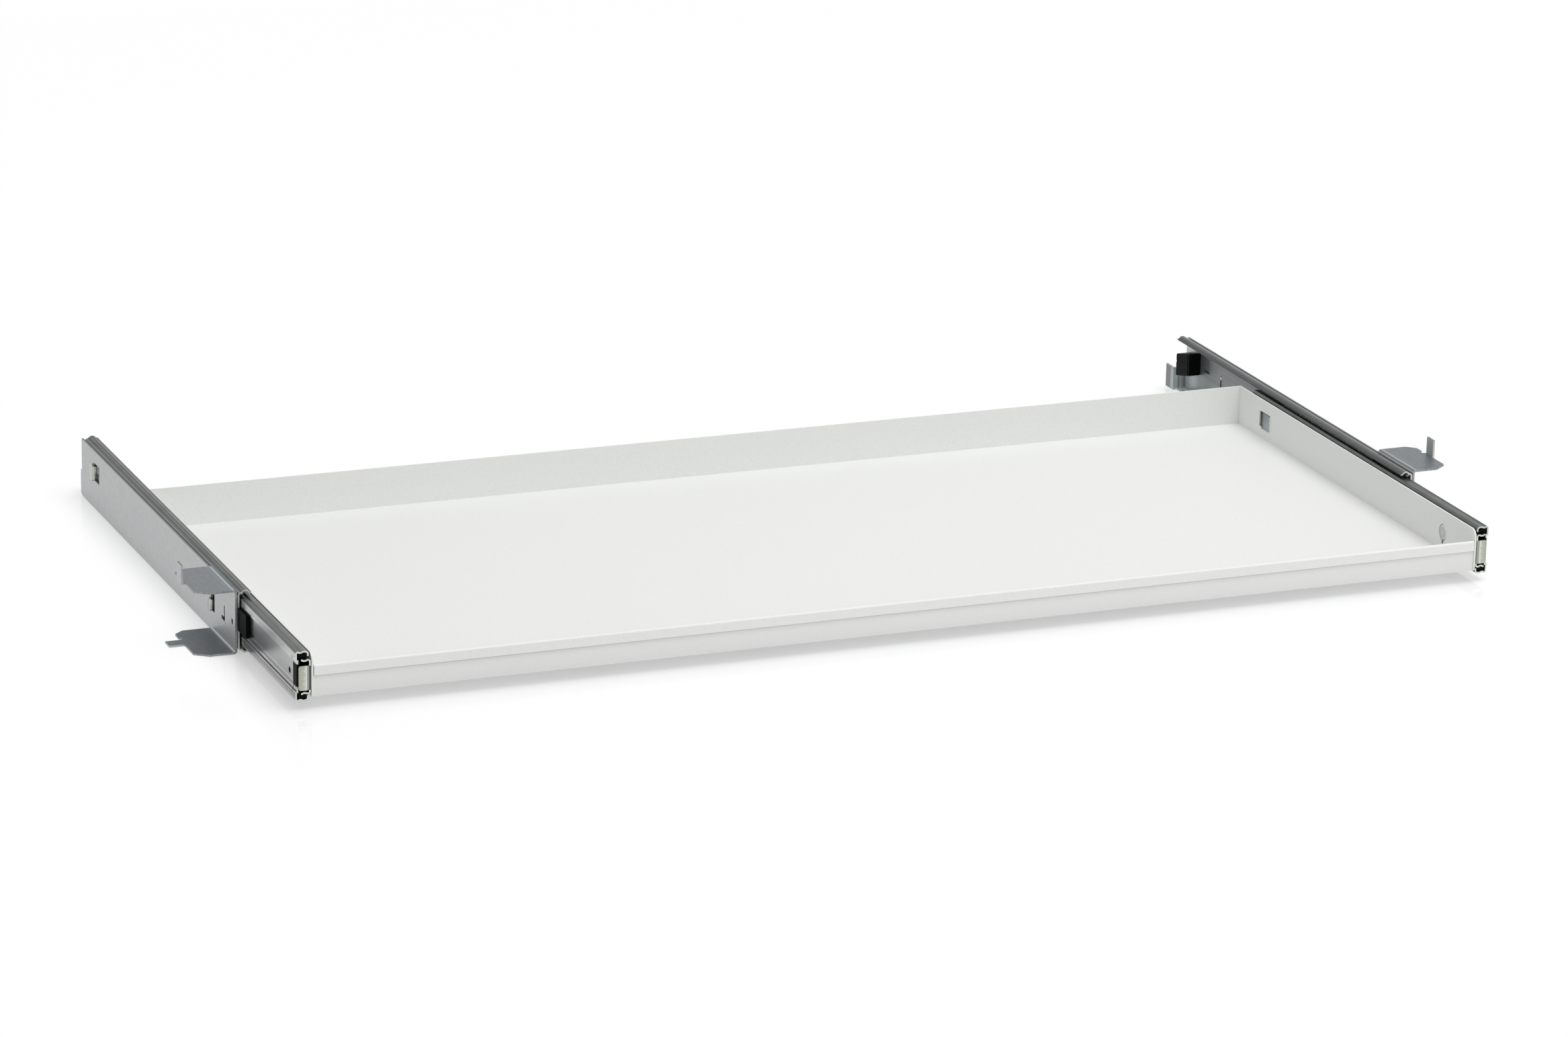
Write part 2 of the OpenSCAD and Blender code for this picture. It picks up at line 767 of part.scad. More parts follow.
// Guide between the middle and drawer members at the front
module front_guide() {
    wall_gap = 0.1;
    out_u = panel_in_u - wall_gap;
    top_v = mid_in_v - mid_groove_sink - wall_gap;
    low_u = mid_lip_u + steel_t + wall_gap;
    hole_u = drawer_reach_u + guide_gap;
    hole_v = drawer_top_v + guide_gap;
    color(black_plastic)
        beside_tray() {
            along(middle_front_y + wall_gap, middle_front_y + guide_l)
                difference() {
                    translate([low_u, -top_v])
                        square([out_u - low_u, 2*top_v]);
                    translate([low_u - cut, -hole_v])
                        square([hole_u - low_u + cut, 2*hole_v]);
                    for (sv = [-1, 1])
                        translate([curl_u, sv*curl_v])
                            rotate(sv > 0 ? 0 : 90)
                                guide_corner();
                }
            // Block ahead of the middle member's web
            translate([out_u - weld, middle_front_y + wall_gap, web_window_v + 2*wall_gap])
                cube([panel_in_u + steel_t - out_u + weld, web_setback - 2*wall_gap,
                      web_window_h - 4*wall_gap]);
        }
}

// Takes a guide's outer corner down to the curl of the middle member's flange
module guide_corner() {
    reach = curl_r - steel_t - 0.1;
    difference() {
        translate([-curl_r, 0])
            square(curl_r);
        circle(reach);
    }
}

// Stop clipped into the cabinet member's front, outside the middle member
module front_stop() {
    face_u = panel_in_u + steel_t + 0.3;
    high_v = panel_h/2 - steel_t - 0.5;
    low_v = 3.5 - high_v;
    color(black_plastic)
        beside_tray() {
            translate([face_u, cabinet_y - stop_reach, low_v])
                cube([cab_in_u - face_u, stop_reach + 9, high_v - low_v]);
            translate([face_u, cabinet_y - stop_reach, low_v])
                cube([slide_t - face_u, stop_reach - 0.1, high_v - low_v]);
        }
}

// Buffer that fills the rear of the cabinet member
module rear_buffer() {
    in_u = 0.8;
    out_u = cab_in_u;
    rear_y = cabinet_rear_y - 3;
    front_y = rear_y - buffer_l;
    top_v = 15.7;
    color(black_plastic)
        beside_tray()
            difference() {
                across(in_u, out_u)
                    polygon([
                        [front_y, top_v - buffer_h],
                        [rear_y, top_v - buffer_h - buffer_drop],
                        [rear_y, top_v - buffer_drop],
                        [front_y, top_v],
                    ]);
                // Grooves along the block
                for (g = [1, 2])
                    across(in_u - cut, in_u + groove_d)
                        translate([0, top_v - g*buffer_h/3])
                            polygon([
                                [front_y - cut, 0],
                                [rear_y + cut, -buffer_drop],
                                [rear_y + cut, -buffer_drop - 1.2],
                                [front_y - cut, -1.2],
                            ]);
            }
}

// Nodes: each right-hand piece and its mirror image on the left

module right_mounting_bracket() { mounting_bracket(); }
module left_mounting_bracket() { mirror([1, 0, 0]) mounting_bracket(); }
module right_cabinet_member() { cabinet_member(); }
module left_cabinet_member() { mirror([1, 0, 0]) cabinet_member(); }
module right_middle_member() { middle_member(); }
module left_middle_member() { mirror([1, 0, 0]) middle_member(); }
module right_drawer_member() { drawer_member(); }
module left_drawer_member() { mirror([1, 0, 0]) drawer_member(); }
module right_outer_retainer() { outer_retainer(); }
module left_outer_retainer() { mirror([1, 0, 0]) outer_retainer(); }
module right_outer_balls() { outer_balls(); }
module left_outer_balls() { mirror([1, 0, 0]) outer_balls(); }
module right_inner_retainer() { inner_retainer(); }
module left_inner_retainer() { mirror([1, 0, 0]) inner_retainer(); }
module right_inner_balls() { inner_balls(); }
module left_inner_balls() { mirror([1, 0, 0]) inner_balls(); }
module right_front_guide() { front_guide(); }
module left_front_guide() { mirror([1, 0, 0]) front_guide(); }
module right_front_stop() { front_stop(); }
module left_front_stop() { mirror([1, 0, 0]) front_stop(); }
module right_rear_buffer() { rear_buffer(); }
module left_rear_buffer() { mirror([1, 0, 0]) rear_buffer(); }

shelf_tray();
left_mounting_bracket();
right_mounting_bracket();
left_cabinet_member();
right_cabinet_member();
left_middle_member();
right_middle_member();
left_drawer_member();
right_drawer_member();
left_outer_retainer();
right_outer_retainer();
left_outer_balls();
right_outer_balls();
left_inner_retainer();
right_inner_retainer();
left_inner_balls();
right_inner_balls();
left_front_guide();
right_front_guide();
left_front_stop();
right_front_stop();
left_rear_buffer();
right_rear_buffer();
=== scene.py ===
"""Dresses the pull-out shelf: its folded tray, ball slides and brackets."""

import json
import math

import bpy
import bmesh
from mathutils import Matrix, Vector


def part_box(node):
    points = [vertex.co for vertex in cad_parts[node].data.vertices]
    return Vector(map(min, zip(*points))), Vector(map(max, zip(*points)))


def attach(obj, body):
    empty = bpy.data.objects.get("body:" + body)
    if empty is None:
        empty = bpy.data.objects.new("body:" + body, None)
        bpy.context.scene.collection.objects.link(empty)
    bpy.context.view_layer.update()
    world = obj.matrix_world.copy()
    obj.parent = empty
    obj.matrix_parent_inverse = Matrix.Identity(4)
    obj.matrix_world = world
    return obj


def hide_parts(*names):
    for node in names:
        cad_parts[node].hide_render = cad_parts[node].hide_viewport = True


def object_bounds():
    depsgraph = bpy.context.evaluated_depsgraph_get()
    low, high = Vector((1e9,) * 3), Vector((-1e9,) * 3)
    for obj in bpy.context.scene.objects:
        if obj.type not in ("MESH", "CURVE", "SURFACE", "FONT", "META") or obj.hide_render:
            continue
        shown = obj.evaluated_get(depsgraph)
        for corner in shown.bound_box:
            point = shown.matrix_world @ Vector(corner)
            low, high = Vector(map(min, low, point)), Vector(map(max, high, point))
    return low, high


MM = 0.001
FAR = 10000.0
SIDES = ("left", "right")
ROW_BALLS = 8

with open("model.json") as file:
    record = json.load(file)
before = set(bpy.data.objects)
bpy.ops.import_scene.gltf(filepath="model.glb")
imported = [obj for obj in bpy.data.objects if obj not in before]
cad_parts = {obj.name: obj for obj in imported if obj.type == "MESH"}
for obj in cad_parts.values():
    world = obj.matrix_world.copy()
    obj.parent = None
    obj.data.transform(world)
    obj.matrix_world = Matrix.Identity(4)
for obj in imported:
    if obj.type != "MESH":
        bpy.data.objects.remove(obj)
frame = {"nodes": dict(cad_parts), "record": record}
nodes = frame["nodes"]
scene = bpy.context.scene
cad_box = [list(corner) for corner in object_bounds()]
BODY_OF = {
    member: body
    for body, members in frame["record"]["behaviour"]["bodies"].items()
    for member in members
}

# Where the right slide lies: the side that faces the tray, its middle height and the tray's
# front, in metres
TRAY_GAP = 0.5 * MM
tray_low, tray_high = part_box("shelf_tray")
rail_low, rail_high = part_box("right_middle_member")
SLIDE_X = tray_high[0] + TRAY_GAP
SLIDE_Z = (rail_low[2] + rail_high[2]) / 2
START_Y = tray_low[1]

# Sizes and places on a slide, in millimetres: out from the side that faces the tray, along
# behind the tray's front and up from the slide's middle
REAR_HOOK = {"neck": 491.9, "reach": 9.5, "low": -3.3, "high": 9.8}
FRONT_HOOK = {"neck": 186.0, "reach": 6.8, "low": -10.4, "high": -0.2, "leaf": 0.9}
HOOK_SHEET = 1.15
PANEL_BACK = {"inner": 12.5, "outer": 13.0, "first": 481.2, "last": 491.35, "low": 2.3,
              "high": 13.75}
PANEL_FACE = {"inner": 12.25, "outer": 12.49, "first": 481.9, "last": 490.4, "low": 3.4,
              "high": 13.3}
DOME_ALONG, DOME_UP = 460.0, 4.9
FOLD_ALONG, FOLD_UP = 508.0, -18.0
PLATE_ALONG, PLATE_UP, PLATE_CORNER = 350.2, 0.1, 3.0
EYE_ALONG = 50.5


# Colours, as they look on a screen, and the values that the shaders take

def linear(value):
    """One screen value, 0 to 255, as the linear value that a shader takes."""
    c = value / 255
    return c / 12.92 if c <= 0.04045 else ((c + 0.055) / 1.055) ** 2.4


def screen(red, green, blue):
    return (linear(red), linear(green), linear(blue), 1.0)


# Node trees

class Graph:
    """Adds nodes to a tree and joins them, with a value or a socket for each input."""

    def __init__(self, tree):
        self.tree = tree
        self.column = 0

    def add(self, kind, inputs=None, **settings):
        node = self.tree.nodes.new(kind)
        node.location = (self.column * 200, 0)
        self.column += 1
        for name, value in settings.items():
            setattr(node, name, value)
        for name, value in (inputs or {}).items():
            self.join(value, node.inputs[name])
        return node

    def join(self, value, socket):
        if isinstance(value, bpy.types.NodeSocket):
            self.tree.links.new(value, socket)
        else:
            socket.default_value = value

    def math(self, operation, a, b=0.0, clamp=False):
        node = self.add("ShaderNodeMath", {0: a, 1: b}, operation=operation, use_clamp=clamp)
        return node.outputs[0]

    def blend(self, factor, a, b, way="MIX"):
        node = self.add("ShaderNodeMix", data_type="RGBA", blend_type=way)
        self.join(factor, node.inputs["Factor"])
        self.join(a, node.inputs[6])
        self.join(b, node.inputs[7])
        return node.outputs[2]

    def ramp(self, value, low, high):
        node = self.add("ShaderNodeMapRange", {"Value": value, "From Min": low, "From Max": high})
        return node.outputs["Result"]

    def noise(self, where, scale, detail=2.0, rough=0.5):
        node = self.add("ShaderNodeTexNoise", {
            "Vector": where, "Scale": scale, "Detail": detail, "Roughness": rough})
        return node.outputs["Fac"]


def shader_group(name, inputs, outputs):
    """An empty shader group with named sockets, and the graph that fills it."""
    tree = bpy.data.node_groups.new(name, "ShaderNodeTree")
    for label, kind, value in inputs:
        socket = tree.interface.new_socket(label, in_out="INPUT", socket_type=kind)
        socket.default_value = value
    for label, kind in outputs:
        tree.interface.new_socket(label, in_out="OUTPUT", socket_type=kind)
    graph = Graph(tree)
    return graph, graph.add("NodeGroupInput").outputs, graph.add("NodeGroupOutput").inputs


def make_fine_texture():
    """Specks of shade and height, for powder coat and moulded plastic."""
    graph, given, out = shader_group(
        "Fine texture",
        [("Vector", "NodeSocketVector", (0, 0, 0)), ("Scale", "NodeSocketFloat", 900.0),
         ("Colour", "NodeSocketColor", (0.8, 0.8, 0.8, 1)),
         ("Speck Colour", "NodeSocketColor", (0.7, 0.7, 0.7, 1)),
         ("Speck Strength", "NodeSocketFloat", 0.3), ("Roughness", "NodeSocketFloat", 0.5),
         ("Roughness Change", "NodeSocketFloat", 0.1)],
        [("Colour", "NodeSocketColor"), ("Roughness", "NodeSocketFloat"),
         ("Height", "NodeSocketFloat")])
    grain = graph.noise(given["Vector"], given["Scale"], 3.0, 0.6)
    cloud = graph.noise(given["Vector"], graph.math("MULTIPLY", given["Scale"], 0.012), 2.0)
    specks = graph.math("MULTIPLY", graph.ramp(grain, 0.45, 0.75), given["Speck Strength"])
    graph.join(graph.blend(specks, given["Colour"], given["Speck Colour"]), out["Colour"])
    change = graph.math("MULTIPLY", graph.ramp(cloud, 0.3, 0.7), given["Roughness Change"])
    graph.join(graph.math("ADD", given["Roughness"], change), out["Roughness"])
    graph.join(grain, out["Height"])
    return graph.tree


def make_zinc_flake():
    """Flat crystals of zinc, each a little lighter or darker, for galvanised sheet."""
    graph, given, out = shader_group(
        "Zinc flake",
        [("Vector", "NodeSocketVector", (0, 0, 0)), ("Flake Scale", "NodeSocketFloat", 300.0),
         ("Colour", "NodeSocketColor", (0.5, 0.5, 0.5, 1)),
         ("Dark Colour", "NodeSocketColor", (0.4, 0.4, 0.4, 1)),
         ("Strength", "NodeSocketFloat", 0.5), ("Roughness", "NodeSocketFloat", 0.4)],
        [("Colour", "NodeSocketColor"), ("Roughness", "NodeSocketFloat"),
         ("Height", "NodeSocketFloat")])
    cells = graph.add("ShaderNodeTexVoronoi", {"Vector": given["Vector"],
                                               "Scale": given["Flake Scale"]})
    tone = graph.add("ShaderNodeSeparateColor", {"Color": cells.outputs["Color"]}).outputs[0]
    smear = graph.noise(given["Vector"], 60.0, 4.0, 0.6)
    mottle = graph.math("MULTIPLY", graph.math("ADD", tone, smear), 0.5)
    dark = graph.math("MULTIPLY", graph.ramp(mottle, 0.2, 0.8), given["Strength"])
    graph.join(graph.blend(dark, given["Colour"], given["Dark Colour"]), out["Colour"])
    rough = graph.math("MULTIPLY", graph.math("SUBTRACT", tone, 0.5), 0.06)
    graph.join(graph.math("ADD", given["Roughness"], rough), out["Roughness"])
    graph.join(smear, out["Height"])
    return graph.tree


def make_rolling_lines():
    """Lines drawn along a rolled section, for zinc-plated runners."""
    graph, given, out = shader_group(
        "Rolling lines",
        [("Vector", "NodeSocketVector", (0, 0, 0)), ("Line Scale", "NodeSocketFloat", 900.0),
         ("Colour", "NodeSocketColor", (0.5, 0.5, 0.5, 1)),
         ("Line Colour", "NodeSocketColor", (0.3, 0.3, 0.3, 1)),
         ("Strength", "NodeSocketFloat", 0.5), ("Roughness", "NodeSocketFloat", 0.3)],
        [("Colour", "NodeSocketColor"), ("Roughness", "NodeSocketFloat"),
         ("Height", "NodeSocketFloat")])
    drawn = graph.add("ShaderNodeMapping", {"Vector": given["Vector"], "Scale": (1.0, 0.012, 1.0)})
    lines = graph.noise(drawn.outputs[0], given["Line Scale"], 3.0, 0.65)
    patches = graph.noise(given["Vector"], 70.0, 3.0, 0.55)
    both = graph.math("ADD", graph.math("MULTIPLY", lines, 0.65),
                      graph.math("MULTIPLY", patches, 0.35))
    dark = graph.math("MULTIPLY", graph.ramp(both, 0.35, 0.65), given["Strength"])
    graph.join(graph.blend(dark, given["Colour"], given["Line Colour"]), out["Colour"])
    rough = graph.math("MULTIPLY", graph.math("SUBTRACT", both, 0.5), 0.3)
    graph.join(graph.math("ADD", given["Roughness"], rough), out["Roughness"])
    graph.join(lines, out["Height"])
    return graph.tree


def make_section_place():
    """Where a point lies, in millimetres: out from the tray, up a slide's section, along it."""
    graph, given, out = shader_group(
        "Section place", [("Vector", "NodeSocketVector", (0, 0, 0))],
        [("Out", "NodeSocketFloat"), ("Up", "NodeSocketFloat"), ("Along", "NodeSocketFloat")])
    parts = graph.add("ShaderNodeSeparateXYZ", {"Vector": given["Vector"]}).outputs
    out_mm = graph.math("SUBTRACT", graph.math("ABSOLUTE", parts["X"]), SLIDE_X)
    up_mm = graph.math("SUBTRACT", parts["Z"], SLIDE_Z)
    graph.join(graph.math("DIVIDE", out_mm, MM), out["Out"])
    graph.join(graph.math("DIVIDE", up_mm, MM), out["Up"])
    graph.join(graph.math("DIVIDE", graph.math("SUBTRACT", parts["Y"], START_Y), MM), out["Along"])
    return graph.tree


def make_shear_marks(section_place):
    """Bright marks of uneven length that a shear left across a slide's end tab."""
    graph, given, out = shader_group(
        "Shear marks",
        [("Vector", "NodeSocketVector", (0, 0, 0)), ("First Mark", "NodeSocketFloat", 3.0),
         ("Colour", "NodeSocketColor", (0.4, 0.4, 0.35, 1)),
         ("Mark Colour", "NodeSocketColor", (0.7, 0.7, 0.7, 1)),
         ("Roughness", "NodeSocketFloat", 0.4)],
        [("Colour", "NodeSocketColor"), ("Roughness", "NodeSocketFloat"),
         ("Height", "NodeSocketFloat")])
    place = graph.add("ShaderNodeGroup", node_tree=section_place)
    graph.join(given["Vector"], place.inputs["Vector"])
    level = graph.add("ShaderNodeCombineXYZ", {"Z": place.outputs["Up"]}).outputs[0]
    coarse = graph.noise(level, 0.9, 2.0, 0.6)
    fine = graph.noise(level, 3.2, 1.0, 0.5)
    length = graph.math("MULTIPLY", graph.math("SUBTRACT", graph.math(
        "ADD", graph.math("MULTIPLY", coarse, 0.4), graph.math("MULTIPLY", fine, 0.6)), 0.42), 24.0)
    reach = graph.math("SUBTRACT", place.outputs["Out"], given["First Mark"])
    inside = graph.ramp(graph.math("SUBTRACT", length, reach), 0.0, 0.6)
    mark = graph.math("MULTIPLY", inside, graph.ramp(reach, 0.0, 0.15))
    near = graph.math("SUBTRACT", 1.0, graph.ramp(graph.math("ABSOLUTE", reach), 0.15, 0.35))
    mask = graph.math("MAXIMUM", graph.math("MULTIPLY", mark, 0.75), near)
    graph.join(graph.blend(mask, given["Colour"], given["Mark Colour"]), out["Colour"])
    rough = graph.math("MULTIPLY", mask, -0.15)
    graph.join(graph.math("ADD", given["Roughness"], rough), out["Roughness"])
    graph.join(mask, out["Height"])
    return graph.tree


FINE_TEXTURE = make_fine_texture()
ZINC_FLAKE = make_zinc_flake()
ROLLING_LINES = make_rolling_lines()
SECTION_PLACE = make_section_place()
SHEAR_MARKS = make_shear_marks(SECTION_PLACE)


def grey(value):
    return screen(value, value, value)


def bands(graph, axis, stops):
    """Colour by the place out from, up or along a slide, in millimetres; most uses paint light,
    shade and reflections this way.
    """
    where = graph.add("ShaderNodeGroup", node_tree=SECTION_PLACE)
    graph.join(graph.add("ShaderNodeTexCoord").outputs["Object"], where.inputs["Vector"])
    low, high = stops[0][0], stops[-1][0]
    along = graph.ramp(where.outputs[axis], low, high)
    node = graph.add("ShaderNodeValToRGB", {"Fac": along})
    line = node.color_ramp.elements
    line[0].position, line[0].color = 0.0, stops[0][1]
    line[1].position, line[1].color = 1.0, stops[-1][1]
    for place, colour in stops[1:-1]:
        line.new((place - low) / (high - low)).color = colour
    return node.outputs["Color"]


def finish(name, group, values, metallic=0.0, bump=0.1, bump_depth=0.00005, stretch=(1, 1, 1),
           specular=0.5, across=None):
    """A material whose colour, roughness and height come from a group, tinted in bands that mostly
    paint light, shade and reflections.
    """
    material = bpy.data.materials.new(name)
    material.use_nodes = True
    material.node_tree.nodes.clear()
    graph = Graph(material.node_tree)
    place = graph.add("ShaderNodeMapping", {
        "Vector": graph.add("ShaderNodeTexCoord").outputs["Object"], "Scale": stretch})
    surface = graph.add("ShaderNodeGroup", node_tree=group)
    graph.join(place.outputs[0], surface.inputs["Vector"])
    for label, value in values.items():
        graph.join(value, surface.inputs[label])
    colour = surface.outputs["Colour"]
    if across:
        colour = graph.blend(1.0, colour, bands(graph, *across), "MULTIPLY")
    relief = graph.add("ShaderNodeBump", {
        "Strength": bump, "Distance": bump_depth, "Height": surface.outputs["Height"]})
    shader = graph.add("ShaderNodeBsdfPrincipled", {
        "Base Color": colour, "Roughness": surface.outputs["Roughness"], "Metallic": metallic,
        "Specular IOR Level": specular, "Normal": relief.outputs[0]})
    graph.add("ShaderNodeOutputMaterial", {"Surface": shader.outputs[0]})
    return material


COAT = {"Scale": 900.0, "Colour": screen(233, 234, 232), "Speck Colour": screen(219, 220, 218),
        "Speck Strength": 0.5, "Roughness": 0.48, "Roughness Change": 0.06}
WHITE, DRAWN = grey(255), screen(222, 222, 222)

powder_coat = finish("Powder coat", FINE_TEXTURE, COAT, bump=0.12, bump_depth=0.00012)
# Powder coat darkened in a band just below the front lip: painted shade where the lip overhangs the
# lower face
painted_lip_shade = finish("Powder coat with painted shade under the lip", FINE_TEXTURE, COAT, bump=0.12,
                   bump_depth=0.00012,
                   across=("Up", [(-14.0, grey(246)), (-3.0, WHITE), (-0.9, grey(246)),
                                  (0.2, grey(206)), (0.8, grey(170))]))
galvanised = finish("Galvanised sheet", ZINC_FLAKE, {
    "Flake Scale": 500.0, "Colour": screen(185, 187, 187), "Dark Colour": screen(175, 178, 180),
    "Strength": 0.55, "Roughness": 0.44}, metallic=0.8, bump=0.05, stretch=(1, 1, 0.8))
# The galvanised sheet again, painted darker and bluer on the flanges as painted shade, with a
# painted highlight along the bend and a painted light line further out
flange_painted_shade_and_highlight = finish("Galvanised flange, painted darker with painted highlights", ZINC_FLAKE, {
    "Flake Scale": 500.0, "Colour": screen(180, 188, 192), "Dark Colour": screen(168, 176, 181),
    "Strength": 0.6, "Roughness": 0.4}, metallic=0.85, bump=0.05,
    across=("Out", [(13.4, grey(240)), (15.4, WHITE), (16.2, grey(225)), (17.0, grey(168)),
                    (18.2, grey(162)), (18.6, grey(182)), (19.0, grey(161)),
                    (44.0, grey(163))]))
sheared_sheet = finish("Sheared sheet edge", ROLLING_LINES, {
    "Line Scale": 1400.0, "Colour": screen(176, 177, 180), "Line Colour": screen(112, 113, 116),
    "Strength": 0.9, "Roughness": 0.4}, metallic=0.5, bump=0.1, bump_depth=0.0001,
    stretch=(1, 1, 0.3))
# The web's top rim painted dark: painted shade and dark reflection along the upper edge
upper_edge_painted_shade = finish("Sheet upper edge in painted shade", ROLLING_LINES, {
    "Line Scale": 900.0, "Colour": screen(120, 122, 122), "Line Colour": screen(104, 106, 106),
    "Strength": 0.6, "Roughness": 0.5}, metallic=0.5, bump=0.0)
# A light colour for rounded rims: a painted highlight along the bracket's front rim and round the
# front hook's dish
rim_painted_highlight = finish("Sheet rim with painted highlight", ROLLING_LINES, {
    "Line Scale": 900.0, "Colour": screen(206, 211, 214), "Line Colour": screen(178, 184, 188),
    "Strength": 0.6, "Roughness": 0.3}, metallic=0.8, bump=0.1)
# Zinc of sheared ends and edges; the same light colour also paints glints on the rear hook plate's
# rim and in the front hook's dimple
sheared_zinc_and_glint = finish("Sheared zinc edge and painted glint", ROLLING_LINES, {
    "Line Scale": 1400.0, "Colour": screen(222, 227, 220), "Line Colour": screen(160, 168, 158),
    "Strength": 0.8, "Roughness": 0.34}, metallic=0.6, bump=0.3, bump_depth=0.0001,
    stretch=(0.4, 1, 1))


def painted_reflection_runner(name, shade):
    """Drawn zinc with painted reflections and highlights as bands across the section, made darker
    by a factor as painted shade.
    """
    stops = ((2.4, 56), (3.6, 80), (5.2, 101), (7.4, 111), (8.4, 80), (8.9, 160), (9.3, 100),
             (11.2, 108), (11.8, 168), (12.2, 104), (12.9, 84))
    return finish(name, ROLLING_LINES, {
        "Line Scale": 900.0, "Colour": WHITE, "Line Colour": DRAWN, "Strength": 0.8,
        "Roughness": 0.34}, metallic=0.9, bump=0.12,
        across=("Out", [(out, screen(value * shade * 0.985, value * shade, value * shade * 1.005))
                        for out, value in stops]))


# The left runner is the same zinc in painted shade, darker than the right
cabinet_zinc_painted_reflections = {"left": painted_reflection_runner("Dark zinc runner, left", 0.84),
             "right": painted_reflection_runner("Cabinet zinc runner with painted reflections, right", 1.0)}
# The cabinet runner's web, with painted light making it lighter towards the rear end next to the
# buffer
web_zinc_painted_light = finish("Zinc runner web, painted lighter towards the rear", ROLLING_LINES, {
    "Line Scale": 500.0, "Colour": screen(200, 206, 206), "Line Colour": screen(178, 184, 184),
    "Strength": 0.7, "Roughness": 0.38}, metallic=0.7, bump=0.08,
    across=("Along", [(130.0, grey(166)), (484.0, grey(166)), (500.0, screen(184, 188, 190)),
                      (512.0, WHITE), (543.0, WHITE)]))
# The middle runner's outer web: its light and dark bands up the section are painted reflections and
# highlights
middle_zinc_painted_reflections = finish("Middle zinc runner with painted reflections", ROLLING_LINES, {
    "Line Scale": 900.0, "Colour": WHITE, "Line Colour": DRAWN, "Strength": 0.6,
    "Roughness": 0.24}, metallic=0.95, bump=0.1,
    across=("Up", [(-18.6, grey(200)), (-17.4, grey(110)), (-16.6, grey(190)),
                   (-15.2, grey(150)), (-12.4, grey(130)), (-12.0, grey(80)),
                   (-11.4, grey(206)), (-8.8, grey(200)), (-8.0, grey(120)),
                   (-5.9, grey(126)), (-5.2, grey(182)), (-4.6, grey(182)),
                   (-4.0, grey(146)), (2.0, screen(152, 153, 154)),
                   (9.6, grey(166)), (10.6, grey(190)), (11.6, grey(176)), (12.0, grey(200)),
                   (14.0, screen(178, 184, 180)), (16.4, screen(188, 193, 188)),
                   (17.2, grey(110)), (18.5, grey(80))]))
# Dark zinc for faces inside the slides, the retainers and the panel's border: painted shade
zinc_in_painted_shade = finish("Zinc in painted shade", ROLLING_LINES, {
    "Line Scale": 900.0, "Colour": screen(102, 106, 104), "Line Colour": screen(74, 77, 76),
    "Strength": 0.8, "Roughness": 0.34}, metallic=0.9, bump=0.1)
tab_zinc = finish("Passivated end tab", SHEAR_MARKS, {
    "First Mark": 3.0, "Colour": screen(172, 175, 160), "Mark Colour": screen(216, 222, 218),
    "Roughness": 0.4}, metallic=0.5, bump=0.3, bump_depth=0.0001,
    across=("Out", [(0.0, grey(150)), (0.6, grey(225)), (2.4, grey(238)), (3.0, WHITE),
                    (8.1, WHITE)]))
hook_zinc = finish("Yellow-green zinc", ROLLING_LINES, {
    "Line Scale": 500.0, "Colour": screen(190, 194, 185), "Line Colour": screen(150, 154, 144),
    "Strength": 0.6, "Roughness": 0.24}, metallic=0.85, bump=0.1)
# Blue zinc, with painted shade darkening the rear end of the tray's rear hook plate
blue_zinc_painted_shade = finish("Blue zinc hook, painted darker at the plate's rear", ROLLING_LINES, {
    "Line Scale": 400.0, "Colour": screen(156, 164, 168), "Line Colour": screen(140, 147, 151),
    "Strength": 0.6, "Roughness": 0.22}, metallic=0.9, bump=0.08,
    across=("Along", [(343.0, WHITE), (353.0, grey(236)), (355.8, grey(170)), (356.8, grey(70)),
                      (358.0, grey(60))]))
# The rear folds painted near white as painted light, with painted highlights and a painted dark
# line along the crease
fold_zinc_painted_light = finish("Folded zinc, painted light with a painted dark crease", ROLLING_LINES, {
    "Line Scale": 300.0, "Colour": screen(236, 247, 246), "Line Colour": screen(206, 218, 216),
    "Strength": 0.7, "Roughness": 0.3}, metallic=0.2, bump=0.1,
    across=("Out", [(2.4, grey(216)), (3.7, grey(246)), (6.2, grey(240)), (7.2, grey(170)),
                    (7.6, grey(160)), (8.2, grey(240)), (10.6, grey(226)), (12.6, grey(180))]))
# The tongue is the galvanised sheet with painted light, and painted shade towards its rear end
tongue_zinc_painted_light = finish("Galvanised tongue", ZINC_FLAKE, {
    "Flake Scale": 500.0, "Colour": screen(226, 230, 232), "Dark Colour": screen(214, 218, 220),
    "Strength": 0.7, "Roughness": 0.4}, metallic=0.8, bump=0.05,
    across=("Along", [(528.0, grey(196)), (534.2, grey(192)), (534.9, grey(143)),
                      (539.0, grey(150)), (543.0, grey(138))]))
ball_steel = finish("Bearing steel", FINE_TEXTURE, {
    "Scale": 600.0, "Colour": screen(214, 216, 218), "Speck Colour": screen(190, 192, 195),
    "Speck Strength": 0.3, "Roughness": 0.12, "Roughness Change": 0.08}, metallic=1.0, bump=0.02)
black_plastic = finish("Black moulded plastic", FINE_TEXTURE, {
    "Scale": 1200.0, "Colour": screen(11, 12, 13), "Speck Colour": screen(18, 19, 21),
    "Speck Strength": 0.5, "Roughness": 0.5, "Roughness Change": 0.1},
    bump=0.1, bump_depth=0.00004, specular=0.04)


# Places on a slide, in millimetres

def out_of(at):
    """How far a point lies out from the side of its slide that faces the tray."""
    return (abs(at.x) - SLIDE_X) / MM


def up_of(at):
    """How far a point lies above its slide's middle."""
    return (at.z - SLIDE_Z) / MM


def along_of(at):
    """How far a point lies behind the tray's front."""
    return (at.y - START_Y) / MM


def at_place(side, out, along, up):
    """A point given out from the tray, along from the front and up from the slide's middle."""
    sign = -1 if side == "left" else 1
    return Vector((sign * (SLIDE_X + out * MM), START_Y + along * MM, SLIDE_Z + up * MM))


